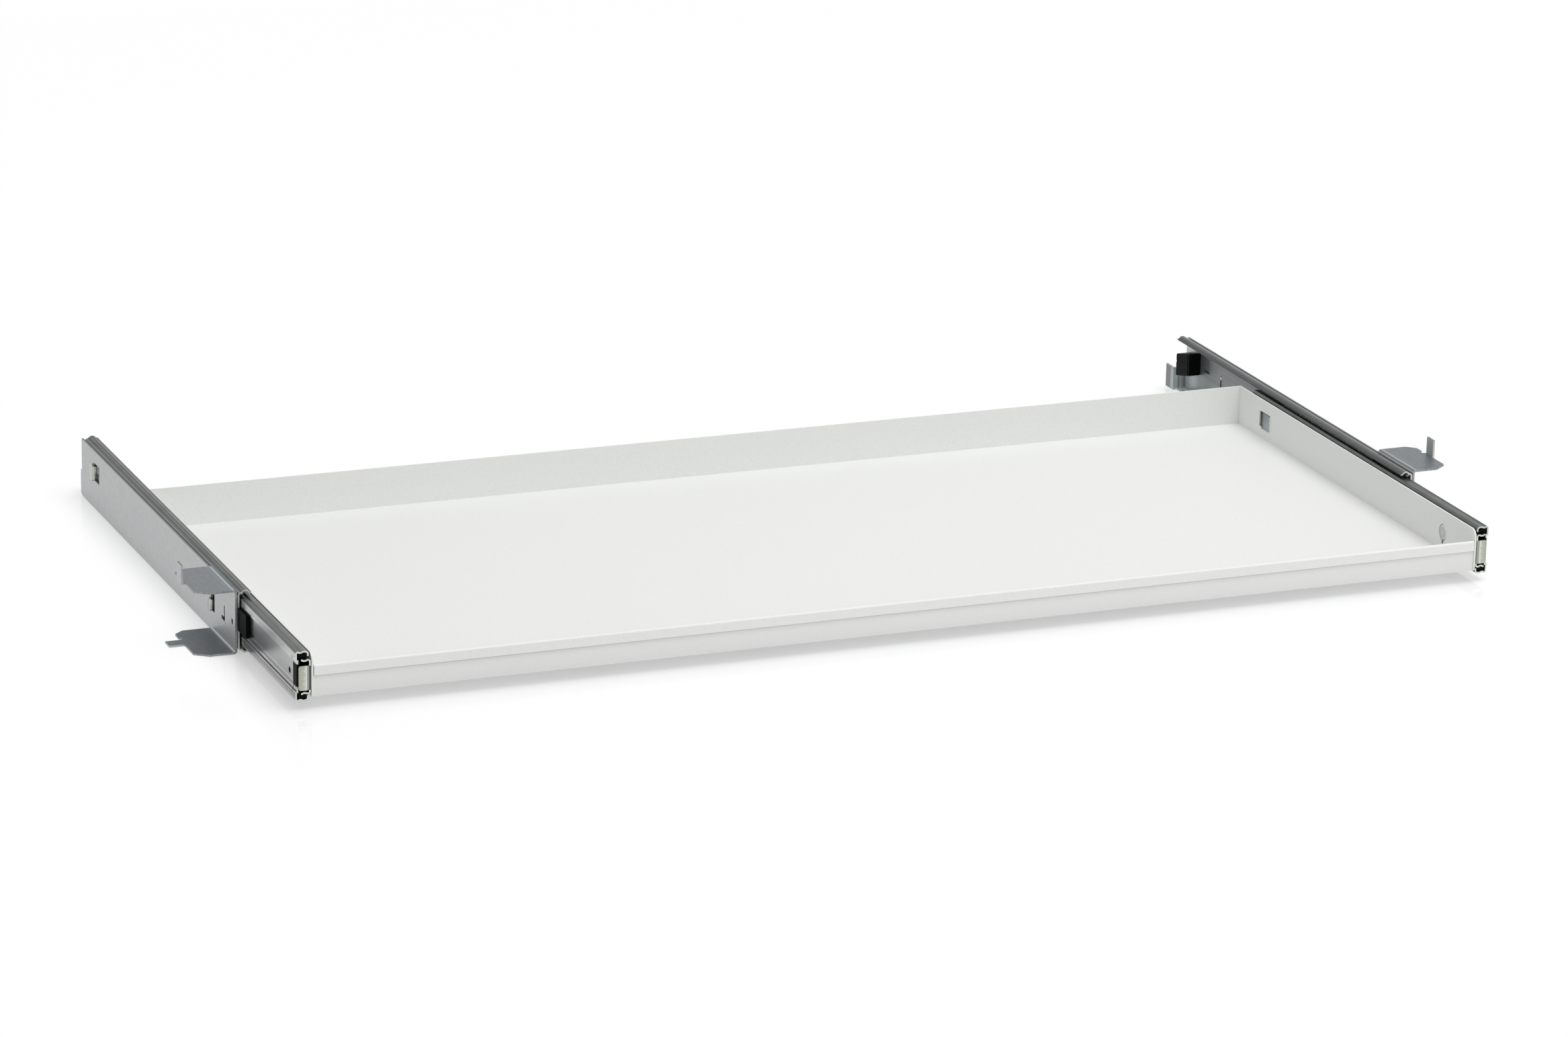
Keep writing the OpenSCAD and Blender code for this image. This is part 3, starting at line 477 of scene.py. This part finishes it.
def front_of(node):
    """How far a node's front end lies behind the tray's front."""
    return along_of(Vector(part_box(node)[0]))


def within(at, out=(-FAR, FAR), along=(-FAR, FAR), up=(-FAR, FAR)):
    """Whether a point lies between the given places."""
    return (out[0] < out_of(at) < out[1] and along[0] < along_of(at) < along[1]
            and up[0] < up_of(at) < up[1])


# Meshes

def softened(name, node, width, segments=2, change=None):
    """A copy of a CAD node, changed if asked, with its corners rounded by a small radius."""
    mesh = nodes[node].data.copy()
    mesh.name = name
    shape = bmesh.new()
    shape.from_mesh(mesh)
    bmesh.ops.remove_doubles(shape, verts=shape.verts, dist=2e-6)
    bmesh.ops.dissolve_limit(shape, angle_limit=math.radians(0.6), verts=shape.verts,
                             edges=shape.edges)
    if change:
        change(shape)
    shape.to_mesh(mesh)
    shape.free()
    mesh.materials.clear()
    return rounded(name, mesh, width, segments)


def rounded(name, mesh, width, segments=2, angle=38):
    """A piece made from a mesh, with its corners rounded."""
    for polygon in mesh.polygons:
        polygon.use_smooth = True
    piece = bpy.data.objects.new(name, mesh)
    scene.collection.objects.link(piece)
    bevel = piece.modifiers.new("Rounded corners", "BEVEL")
    bevel.limit_method = "ANGLE"
    bevel.angle_limit = math.radians(angle)
    bevel.width = width
    bevel.segments = segments
    bevel.use_clamp_overlap = True
    bevel.miter_outer = "MITER_ARC"
    weighted = piece.modifiers.new("Flat faces stay flat", "WEIGHTED_NORMAL")
    weighted.weight = 100
    weighted.keep_sharp = False
    return settled(piece)


def settled(piece):
    """Turns a piece's modifiers into its mesh."""
    view = bpy.context.evaluated_depsgraph_get()
    result = bpy.data.meshes.new_from_object(piece.evaluated_get(view), depsgraph=view,
                                             preserve_all_data_layers=True)
    piece.modifiers.clear()
    old = piece.data
    piece.data = result
    bpy.data.meshes.remove(old)
    return piece


def loft(shape, sections):
    """Adds a skin over a row of outlines that all have the same number of points."""
    rings = [[shape.verts.new(point) for point in outline] for outline in sections]
    count = len(rings[0])
    faces = [shape.faces.new(rings[0]), shape.faces.new(rings[-1])]
    for low, high in zip(rings, rings[1:]):
        for i in range(count):
            j = (i + 1) % count
            faces.append(shape.faces.new((low[i], low[j], high[j], high[i])))
    bmesh.ops.recalc_face_normals(shape, faces=faces)


def bent_strip(side, path, thickness):
    """Outlines of a strip bent along a path of (out, along, low, high) places, in mm."""
    sections = []
    for i, (out, along, low, high) in enumerate(path):
        before, after = path[max(i - 1, 0)], path[min(i + 1, len(path) - 1)]
        way = Vector((after[0] - before[0], after[1] - before[1])).normalized()
        half_out, half_along = -way.y * thickness / 2, way.x * thickness / 2
        sections.append([
            at_place(side, out - half_out, along - half_along, low),
            at_place(side, out + half_out, along + half_along, low),
            at_place(side, out + half_out, along + half_along, high),
            at_place(side, out - half_out, along - half_along, high)])
    return sections


def smooth_path(places, steps=4):
    """A finer path through the given places, without corners."""
    fine = []
    for i in range(len(places) - 1):
        a, b = places[max(i - 1, 0)], places[i]
        c, d = places[i + 1], places[min(i + 2, len(places) - 1)]
        for k in range(steps):
            t = k / steps
            fine.append(tuple(
                0.5 * (2 * q + (r - p) * t + (2 * p - 5 * q + 4 * r - w) * t * t
                       + (3 * q - p - 3 * r + w) * t ** 3)
                for p, q, r, w in zip(a, b, c, d)))
    fine.append(places[-1])
    return fine


def make_row_tree():
    """Geometry nodes that copy one piece in rows, and rows of rows."""
    tree = bpy.data.node_groups.new("Rows of copies", "GeometryNodeTree")
    sockets = {}
    for label, kind in (("Copied Piece", "NodeSocketObject"), ("Count", "NodeSocketInt"),
                        ("Start", "NodeSocketVector"), ("Step", "NodeSocketVector"),
                        ("Rows", "NodeSocketInt"), ("Row Step", "NodeSocketVector"),
                        ("Material", "NodeSocketMaterial")):
        item = tree.interface.new_socket(label, in_out="INPUT", socket_type=kind)
        sockets[label] = item.identifier
    tree.interface.new_socket("Geometry", in_out="OUTPUT", socket_type="NodeSocketGeometry")
    graph = Graph(tree)
    given = graph.add("NodeGroupInput").outputs
    line = graph.add("GeometryNodeMeshLine", {
        "Count": given["Count"], "Start Location": given["Start"], "Offset": given["Step"]})
    rows = graph.add("GeometryNodeMeshLine", {
        "Count": given["Rows"], "Offset": given["Row Step"]})
    places = graph.add("GeometryNodeInstanceOnPoints", {
        "Points": line.outputs[0], "Instance": rows.outputs[0]})
    points = graph.add("GeometryNodeRealizeInstances", {"Geometry": places.outputs[0]})
    source = graph.add("GeometryNodeObjectInfo", {"Object": given["Copied Piece"]})
    copies = graph.add("GeometryNodeInstanceOnPoints", {
        "Points": points.outputs[0], "Instance": source.outputs["Geometry"]})
    whole = graph.add("GeometryNodeRealizeInstances", {"Geometry": copies.outputs[0]})
    dressed = graph.add("GeometryNodeSetMaterial", {
        "Geometry": whole.outputs[0], "Material": given["Material"]})
    graph.join(dressed.outputs[0], graph.add("NodeGroupOutput").inputs["Geometry"])
    return tree, sockets


ROW_TREE, ROW_SOCKETS = make_row_tree()


def in_rows(name, source, material, count, start, step, rows=1, row_step=(0, 0, 0)):
    """A piece made of copies of another in rows; the copied piece is used up."""
    piece = bpy.data.objects.new(name, bpy.data.meshes.new(name))
    scene.collection.objects.link(piece)
    copier = piece.modifiers.new("Rows of copies", "NODES")
    copier.node_group = ROW_TREE
    for label, value in (("Copied Piece", source), ("Count", count), ("Start", start),
                         ("Step", step), ("Rows", rows), ("Row Step", row_step),
                         ("Material", material)):
        copier[ROW_SOCKETS[label]] = value
    settled(piece)
    bpy.data.objects.remove(source)
    return piece


def faced(piece, base, *others):
    """Gives a piece its material, and others to the faces whose place and facing pass a test."""
    piece.data.materials.clear()
    piece.data.materials.append(base)
    for material, test in others:
        piece.data.materials.append(material)
        index = len(piece.data.materials) - 1
        for polygon in piece.data.polygons:
            if test(polygon.center, polygon.normal):
                polygon.material_index = index


def stand_for(piece, node):
    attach(piece, BODY_OF[node])
    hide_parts(node)


# Pieces

def make_tray():
    node = "shelf_tray"
    sheet, corner_gap, inset = 1.2, 0.5, 0.04
    inner_face = tray_high[0] - sheet * MM
    back = along_of(Vector(tray_high))

    def close_corners(shape):
        """Brings the front and back walls' ends up to the side walls."""
        for vert in shape.verts:
            along, across = along_of(vert.co), abs(vert.co.x)
            at_end = abs(across - (inner_face - corner_gap * MM)) < 0.05 * MM
            if at_end and (1.5 < along < 3.4 or along > back - 1.4):
                vert.co.x = math.copysign(inner_face - inset * MM, vert.co.x)

    # The front wall's faces below the lip, which take the painted shade
    def under_lip(at, facing):
        return (facing.y < -0.95 and within(at, along=(1.5, 1.75))
                and abs(at.x) < inner_face - 0.1 * MM)

    piece = softened("tray_sheet", node, 0.3 * MM, segments=3, change=close_corners)
    faced(piece, powder_coat, (painted_lip_shade, under_lip))
    stand_for(piece, node)


def make_bracket(side):
    node = f"{side}_mounting_bracket"
    front = front_of(node)
    web_out, flange_first, flange_last = 15.4, 16.5, 43.8
    lower_flange_top, upper_flange = -22.5, (22.1, 23.8)
    tongue_first, tongue_out, fold_first = 516, 4.2, 528

    # Flange faces: they take the darker copy of the sheet, painted shade with painted highlights
    def on_flange(at, facing):
        return abs(facing.z) > 0.55 and out_of(at) > web_out - 2 and abs(facing.y) < 0.3

    # The web's top rim, which takes the painted shade
    def on_top(at, facing):
        return facing.z > 0.5 and within(at, out=(-FAR, web_out - 0.1), along=(front + 5, FAR),
                                         up=(19.9, FAR))

    def cut_edge(at, facing):
        if facing.y < -0.75 and along_of(at) < front + 14:
            return True
        beside = within(at, out=(flange_first, flange_last)) and abs(facing.z) < 0.3
        return beside and (up_of(at) < lower_flange_top or within(at, up=upper_flange))

    # The front rim and the flange's front edge take a painted highlight
    def rim(at, facing):
        if out_of(at) < web_out + 0.1:
            return facing.y < -0.3 and along_of(at) < front + 1
        return facing.y < -0.3 and facing.z > 0.25 and along_of(at) < front + 40

    def rear_fold(at, facing):
        return along_of(at) > fold_first and facing.y < -0.7

    def tongue(at, facing):
        return (within(at, out=(-FAR, tongue_out), along=(tongue_first, FAR))
                and abs(facing.x) > 0.6)

    piece = softened(f"{side}_bracket_sheet", node, 0.34 * MM)
    faced(piece, galvanised, (flange_painted_shade_and_highlight, on_flange), (upper_edge_painted_shade, on_top),
          (sheared_sheet, cut_edge), (rim_painted_highlight, rim), (fold_zinc_painted_light, rear_fold),
          (tongue_zinc_painted_light, tongue))
    stand_for(piece, node)


def hook_sections(side, neck, reach, low, high, leaf=0.0):
    """A hook that comes through its window, bends over and ends in a plate or a leaf."""
    end = neck + reach
    path = smooth_path([
        (11.9, neck + 1.6, low + 1.8, high - 1.4), (13.2, neck + 0.9, low + 1.8, high - 1.2),
        (14.6, neck + 0.75, low + 1.8, high - 0.9), (15.6, neck + 1.6, low + 1.6, high - 0.6),
        (15.66, neck + 2.8, low + 0.7, high - 0.3), (15.36, neck + 3.7, low + 0.1, high),
        (15.42, neck + 4.8, low, high), (15.6, end - 1.6, low + 0.5 * leaf, high - 0.6 - leaf),
        (15.68, end - 0.5, low + 0.8 + leaf, high - 1.4 - 2 * leaf),
        (15.7, end, low + 2.2 + 1.2 * leaf, high - 2.6 - 2.2 * leaf)])
    return bent_strip(side, path, HOOK_SHEET)


def circle_of(side, out, along, up, radius, count=40):
    turns = [2 * math.pi * i / count for i in range(count)]
    return [at_place(side, out, along + radius * math.cos(t), up + radius * math.sin(t))
            for t in turns]


def panel_sections(side, inner, outer, first, last, low, high):
    """Two rectangles, the ends of a flat panel that lies along a slide's web."""
    return [[at_place(side, out, along, up) for along, up in
             ((first, low), (last, low), (last, high), (first, high))]
            for out in (inner, outer)]


def make_cabinet_rail(side):
    node = f"{side}_cabinet_member"
    front = front_of(node)
    web_outside, lip_up = 12.75, 19.5
    opening = {"along": (480, 492), "up": (2, 14)}
    dome_rings = ((11.7, 1.5), (11.35, 1.5), (11.1, 1.0), (11.05, 0.4))
    face_back = PANEL_FACE["outer"] - 0.0001

    def bend_hooks(shape):
        """Puts bent hooks in the place of the square ones and adds the panel and the dome."""
        square = [face for face in shape.faces if out_of(face.calc_center_median()) > web_outside]
        bmesh.ops.delete(shape, geom=square, context="FACES")
        bmesh.ops.holes_fill(shape, edges=[edge for edge in shape.edges if edge.is_boundary])
        loft(shape, hook_sections(side, **REAR_HOOK))
        loft(shape, hook_sections(side, **FRONT_HOOK))
        if side == "right":
            loft(shape, panel_sections(side, **PANEL_BACK))
            loft(shape, panel_sections(side, **PANEL_FACE))
        loft(shape, [circle_of(side, out, DOME_ALONG, DOME_UP, radius, 20)
                     for out, radius in dome_rings])
        part_lower_flange(shape)

    def part_lower_flange(shape):
        """Cuts the lower flange across, so that its rear end can take the painted light of the
        folded zinc.
        """
        lower = [face for face in shape.faces if up_of(face.calc_center_median()) < FOLD_UP]
        parts = lower + [edge for face in lower for edge in face.edges]
        parts += [vert for face in lower for vert in face.verts]
        bmesh.ops.bisect_plane(shape, geom=list(dict.fromkeys(parts)), dist=1e-6,
                               plane_co=at_place(side, 0.0, FOLD_ALONG, 0.0), plane_no=(0, 1, 0))

    def on_web(at, facing):
        return abs(up_of(at)) < lip_up and abs(facing.x) > 0.5

    def on_hook_or_dome(at, facing):
        on_dome = within(at, out=(-FAR, 11.42), along=(DOME_ALONG - 2, DOME_ALONG + 2),
                         up=(DOME_UP - 1.9, DOME_UP + 2.1))
        return on_dome or out_of(at) > 13.05

    # The recessed panel's border takes the zinc in painted shade
    def panel_border(at, facing):
        return side == "right" and within(at, out=(face_back, 13.05), along=(481, 491.5),
                                          up=(2, 14))

    def panel_face(at, facing):
        return side == "right" and within(at, out=(12.2, face_back), along=(481, 490.8),
                                          up=(3, 14))

    # The front hook's leaf takes the darker blue zinc: painted shade on the bent leaf
    def on_leaf(at, facing):
        return within(at, out=(14.8, FAR), along=(FRONT_HOOK["neck"] + 3.4, 200))

    def opening_edge(at, facing):
        return facing.y < -0.5 and within(at, out=(11, FAR), **opening)

    # The folded rear end, which takes the painted light
    def rear_fold(at, facing):
        return within(at, along=(FOLD_ALONG, FAR), up=(-FAR, FOLD_UP))

    def front_end(at, facing):
        return facing.y < -0.9 and along_of(at) < front + 0.6

    piece = softened(f"{side}_cabinet_rail", node, 0.18 * MM, change=bend_hooks)
    faced(piece, cabinet_zinc_painted_reflections[side], (web_zinc_painted_light, on_web), (hook_zinc, on_hook_or_dome),
          (zinc_in_painted_shade, panel_border), (web_zinc_painted_light, panel_face), (blue_zinc_painted_shade, on_leaf),
          (hook_zinc, opening_edge), (fold_zinc_painted_light, rear_fold), (sheared_zinc_and_glint, front_end))
    stand_for(piece, node)


def make_middle_rail(side):
    node = f"{side}_middle_member"
    front = front_of(node)
    outward = -1 if side == "left" else 1

    # The outer web takes the painted reflections; the rest is zinc in painted shade
    def outside(at, facing):
        return out_of(at) > 9.3 and facing.x * outward > 0.3

    def front_end(at, facing):
        return facing.y < -0.9 and along_of(at) < front + 9

    piece = softened(f"{side}_middle_rail", node, 0.18 * MM)
    faced(piece, zinc_in_painted_shade, (middle_zinc_painted_reflections, outside), (sheared_zinc_and_glint, front_end))
    stand_for(piece, node)


def plate_of(side, out, along, up, half_long, half_tall, corner, count=6):
    """The outline of an upright plate whose front corners are rounded."""
    points = [at_place(side, out, along + half_long, up - half_tall),
              at_place(side, out, along + half_long, up + half_tall)]
    for sign in (1, -1):
        for i in range(count + 1):
            turn = math.pi / 2 * (i / count if sign > 0 else 1 - i / count)
            points.append(at_place(side, out,
                                   along - half_long + corner - corner * math.sin(turn),
                                   up + sign * (half_tall - corner + corner * math.cos(turn))))
    return points


def make_drawer_rail(side):
    node = f"{side}_drawer_member"
    front = front_of(node)
    tab = {"along": (-FAR, front + 2.9), "up": (-10.6, 8.4)}
    plate_rings = ((-1.74, 7.3, 6.7), (-1.9, 7.3, 6.7), (-2.12, 6.2, 5.7))
    eye_rings = ((-1.0, 5.8), (-1.45, 5.8), (-1.78, 5.3), (-1.98, 4.5), (-1.86, 3.2),
                 (-1.92, 1.5), (-1.6, 0.9), (-1.5, 0.3))
    glint_edge, dish_edge, rim_edge = 1.6, 4.6, 5.7

    def dress_hooks(shape):
        """Gives the rear hook its plate and the front hook its dished face."""
        loft(shape, [plate_of(side, out, PLATE_ALONG, PLATE_UP, half_long, half_tall, PLATE_CORNER)
                     for out, half_long, half_tall in plate_rings])
        loft(shape, [circle_of(side, out, EYE_ALONG, 0.0, radius) for out, radius in eye_rings])

    def from_eye(at):
        """How far a point on the front hook's dished face lies from its middle."""
        return math.hypot(along_of(at) - EYE_ALONG, up_of(at)) if out_of(at) <= -1.4 else FAR

    def front_end(at, facing):
        return facing.y < -0.9 and along_of(at) < front + 0.6

    def on_tab(at, facing):
        return facing.y < 0.3 and within(at, **tab)

    def tab_rim(at, facing):
        return (facing.y < -0.1 and within(at, **tab)
                and (out_of(at) > 8.2 or abs(facing.z) > 0.3))

    def through_wall(at, facing):
        return out_of(at) < -0.2

    # The rear hook plate's front rim: a painted glint
    def plate_rim_glint(at, facing):
        return within(at, out=(-FAR, -1.72), along=(340, 344.05))

    def on_dish(at, facing):
        return from_eye(at) < dish_edge

    # The ring round the front hook's dish takes a painted highlight
    def dish_rim(at, facing):
        return dish_edge < from_eye(at) < rim_edge

    # The dimple in the middle of the front hook's dish: a painted glint
    def dimple_glint(at, facing):
        return from_eye(at) < glint_edge

    piece = softened(f"{side}_drawer_rail", node, 0.18 * MM, change=dress_hooks)
    faced(piece, zinc_in_painted_shade, (sheared_zinc_and_glint, front_end), (tab_zinc, on_tab),
          (sheared_zinc_and_glint, tab_rim), (blue_zinc_painted_shade, through_wall), (sheared_zinc_and_glint, plate_rim_glint),
          (galvanised, on_dish), (rim_painted_highlight, dish_rim), (sheared_zinc_and_glint, dimple_glint))
    stand_for(piece, node)


def make_plastic(side, name):
    node = f"{side}_{name}"
    piece = softened(f"{side}_{name}_moulding", node, 0.3 * MM, segments=3)
    faced(piece, black_plastic)
    stand_for(piece, node)


def make_buffer(side):
    """The rear buffer: three shallow ribs, one above another, and a slit behind the face."""
    node = f"{side}_rear_buffer"
    corners = [Vector(corner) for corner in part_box(node)]
    inside, outside = sorted(out_of(corner) for corner in corners)
    first, last = (along_of(corner) for corner in corners)
    bottom, top = (up_of(corner) for corner in corners)
    ribs, steps, drop = 3, 12, 5.8
    inner_hollow, outer_hollow = 0.4, 0.8
    long, tall = last - first, top - bottom - drop

    def outline(deep, inset):
        """The upright outline at one depth: up the inner side and down the outer side."""
        inner, outer = [], []
        for i in range(ribs * steps + 1):
            part = i / steps
            hollow = abs(2 * (part - math.floor(part)) - 1) ** 4
            up = top - tall - drop * deep / long + tall * part / ribs
            inner.append(at_place(side, inside + inset + inner_hollow * hollow, first + deep, up))
            outer.append(at_place(side, outside - inset - outer_hollow * hollow, first + deep, up))
        return inner + outer[::-1]

    front_round = ((0.0, 0.5), (0.15, 0.2), (0.5, 0.0))
    slit = ((1.9, 0.0), (2.0, 1.0), (2.9, 1.0), (3.0, 0.0))
    rear_round = ((long - 0.5, 0.0), (long - 0.15, 0.2), (long, 0.5))
    shape = bmesh.new()
    loft(shape, [outline(deep, inset) for deep, inset in front_round + slit + rear_round])
    mesh = bpy.data.meshes.new("buffer")
    shape.to_mesh(mesh)
    shape.free()
    piece = rounded(f"{node}_moulding", mesh, 0.35 * MM, segments=2, angle=60)
    faced(piece, black_plastic)
    stand_for(piece, node)


def make_balls(side, name, count):
    """Two rows of bearing balls where the CAD rows lie."""
    node = f"{side}_{name}"
    low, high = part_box(node)
    size = high[0] - low[0]
    shape = bmesh.new()
    bmesh.ops.create_icosphere(shape, subdivisions=3, radius=size / 2)
    mesh = bpy.data.meshes.new("ball")
    shape.to_mesh(mesh)
    shape.free()
    for polygon in mesh.polygons:
        polygon.use_smooth = True
    ball = bpy.data.objects.new("ball", mesh)
    scene.collection.objects.link(ball)
    start = (low[0] + size / 2, low[1] + size / 2, low[2] + size / 2)
    step = (0, (high[1] - low[1] - size) / (count - 1), 0)
    piece = in_rows(f"{side}_{name}_set", ball, ball_steel, count, start, step,
                    2, (0, 0, high[2] - low[2] - size))
    stand_for(piece, node)


make_tray()
for side in SIDES:
    make_bracket(side)
    make_cabinet_rail(side)
    make_middle_rail(side)
    make_drawer_rail(side)
    make_plastic(side, "front_guide")
    make_plastic(side, "front_stop")
    make_buffer(side)
    # The retainers inside the slides take the zinc in painted shade
    for name in ("outer_retainer", "inner_retainer"):
        nodes[f"{side}_{name}"].data.materials[0] = zinc_in_painted_shade
    for name in ("outer_balls", "inner_balls"):
        make_balls(side, name, ROW_BALLS)


# Studio

def make_floor():
    """A pale floor that looks white and keeps the shelf's shadow and a faint reflection."""
    mesh = bpy.data.meshes.new("Studio floor")
    half, below = 30.0, 0.5 * MM
    edges = (("X", SLIDE_X + 15 * MM, 2.4), ("Y", cad_box[1][1], 1.0))
    white_at_edge, white_further, shadow_wide = 0.36, 0.57, 0.07
    fade_from, fade_to = 0.75, 1.9
    mesh.from_pydata([(-half, -half, 0), (half, -half, 0), (half, half, 0), (-half, half, 0)],
                     [], [(0, 1, 2, 3)])
    floor = bpy.data.objects.new("Studio floor", mesh)
    floor.location.z = -below
    scene.collection.objects.link(floor)
    material = bpy.data.materials.new("White studio floor")
    material.use_nodes = True
    material.node_tree.nodes.clear()
    graph = Graph(material.node_tree)
    path = graph.add("ShaderNodeLightPath").outputs
    seen = graph.math("ADD", graph.math("ADD", path["Is Camera Ray"], path["Is Glossy Ray"]),
                      path["Is Transmission Ray"], clamp=True)
    where = graph.add("ShaderNodeTexCoord").outputs["Object"]
    reach = graph.add("ShaderNodeVectorMath", {0: where}, operation="LENGTH").outputs["Value"]
    parts = graph.add("ShaderNodeSeparateXYZ", {"Vector": where}).outputs
    beside = [graph.math("MULTIPLY", graph.math("MAXIMUM", graph.math(
        "SUBTRACT", graph.math("ABSOLUTE", parts[axis]), edge), 0.0), steepness)
        for axis, edge, steepness in edges]
    off = graph.math("SQRT", graph.math("ADD", graph.math("MULTIPLY", beside[0], beside[0]),
                                        graph.math("MULTIPLY", beside[1], beside[1])))
    near = graph.math("ADD", white_at_edge, graph.math(
        "MULTIPLY", graph.ramp(off, 0.0, shadow_wide), white_further))
    far = graph.math("MAXIMUM", graph.ramp(reach, fade_from, fade_to), near)
    matt = graph.add("ShaderNodeBsdfDiffuse", {"Color": (0.857, 0.86, 0.865, 1)})
    sheen = graph.add("ShaderNodeBsdfGlossy", {"Color": (1, 1, 1, 1), "Roughness": 0.1})
    lift = graph.add("ShaderNodeEmission", {
        "Color": (1, 1, 1, 1), "Strength": graph.math("MULTIPLY", seen, 0.16)})
    white = graph.add("ShaderNodeEmission", {"Color": (1, 1, 1, 1), "Strength": 1.0})
    soft = graph.add("ShaderNodeMixShader", {0: 0.22})
    graph.join(matt.outputs[0], soft.inputs[1])
    graph.join(sheen.outputs[0], soft.inputs[2])
    lifted = graph.add("ShaderNodeAddShader")
    graph.join(soft.outputs[0], lifted.inputs[0])
    graph.join(lift.outputs[0], lifted.inputs[1])
    pale = graph.add("ShaderNodeMixShader", {0: graph.math("MULTIPLY", seen, far)})
    graph.join(lifted.outputs[0], pale.inputs[1])
    graph.join(white.outputs[0], pale.inputs[2])
    graph.add("ShaderNodeOutputMaterial", {"Surface": pale.outputs[0]})
    mesh.materials.append(material)


def make_world():
    world = bpy.data.worlds.new("Studio")
    scene.world = world
    world.use_nodes = True
    world.node_tree.nodes.clear()
    graph = Graph(world.node_tree)
    path = graph.add("ShaderNodeLightPath").outputs
    shown = graph.math("ADD", graph.math("ADD", path["Is Camera Ray"], path["Is Glossy Ray"]),
                       path["Is Transmission Ray"], clamp=True)
    strength = graph.math("ADD", 0.5, graph.math("MULTIPLY", shown, 0.5))
    light = graph.add("ShaderNodeBackground", {"Color": (1, 1, 1, 1), "Strength": strength})
    graph.add("ShaderNodeOutputWorld", {"Surface": light.outputs[0]})


def make_lamp(name, place, aim, size, power):
    lamp = bpy.data.lights.new(name, "AREA")
    lamp.shape = "RECTANGLE"
    lamp.size, lamp.size_y = size
    lamp.energy = power
    light = bpy.data.objects.new(name, lamp)
    light.location = place
    light.rotation_euler = (Vector(aim) - Vector(place)).to_track_quat("-Z", "Y").to_euler()
    scene.collection.objects.link(light)


def make_camera():
    """The photograph's view: 22.3 degrees round to the left, looking 17.5 degrees down."""
    yaw, pitch, roll = math.radians(22.312), math.radians(17.534), math.radians(1.302)
    place = (-1.68094, -4.11553, 1.41723)
    focal_pixels, picture_pixels = 9328.6, 2370
    ahead = Vector((math.sin(yaw) * math.cos(pitch), math.cos(yaw) * math.cos(pitch),
                    -math.sin(pitch)))
    level = Vector((math.cos(yaw), -math.sin(yaw), 0.0))
    upright = level.cross(ahead)
    across = math.cos(roll) * level + math.sin(roll) * upright
    up = -math.sin(roll) * level + math.cos(roll) * upright
    lens = bpy.data.cameras.new("Camera")
    lens.sensor_width = 36.0
    lens.lens = focal_pixels / picture_pixels * lens.sensor_width
    lens.clip_end = 100.0
    camera = bpy.data.objects.new("Camera", lens)
    turned = Matrix((across, up, -ahead)).transposed().to_4x4()
    camera.matrix_world = Matrix.Translation(place) @ turned
    scene.collection.objects.link(camera)
    scene.camera = camera


make_floor()
make_world()
make_lamp("Overhead softbox", (0.7, -0.6, 3.0), (0, 0, 0), (2.6, 2.2), 60)
make_lamp("Front softbox", (1.6, -3.6, 0.9), (0, 0, 0), (2.4, 1.2), 16)
make_camera()
scene.view_settings.view_transform = "Standard"
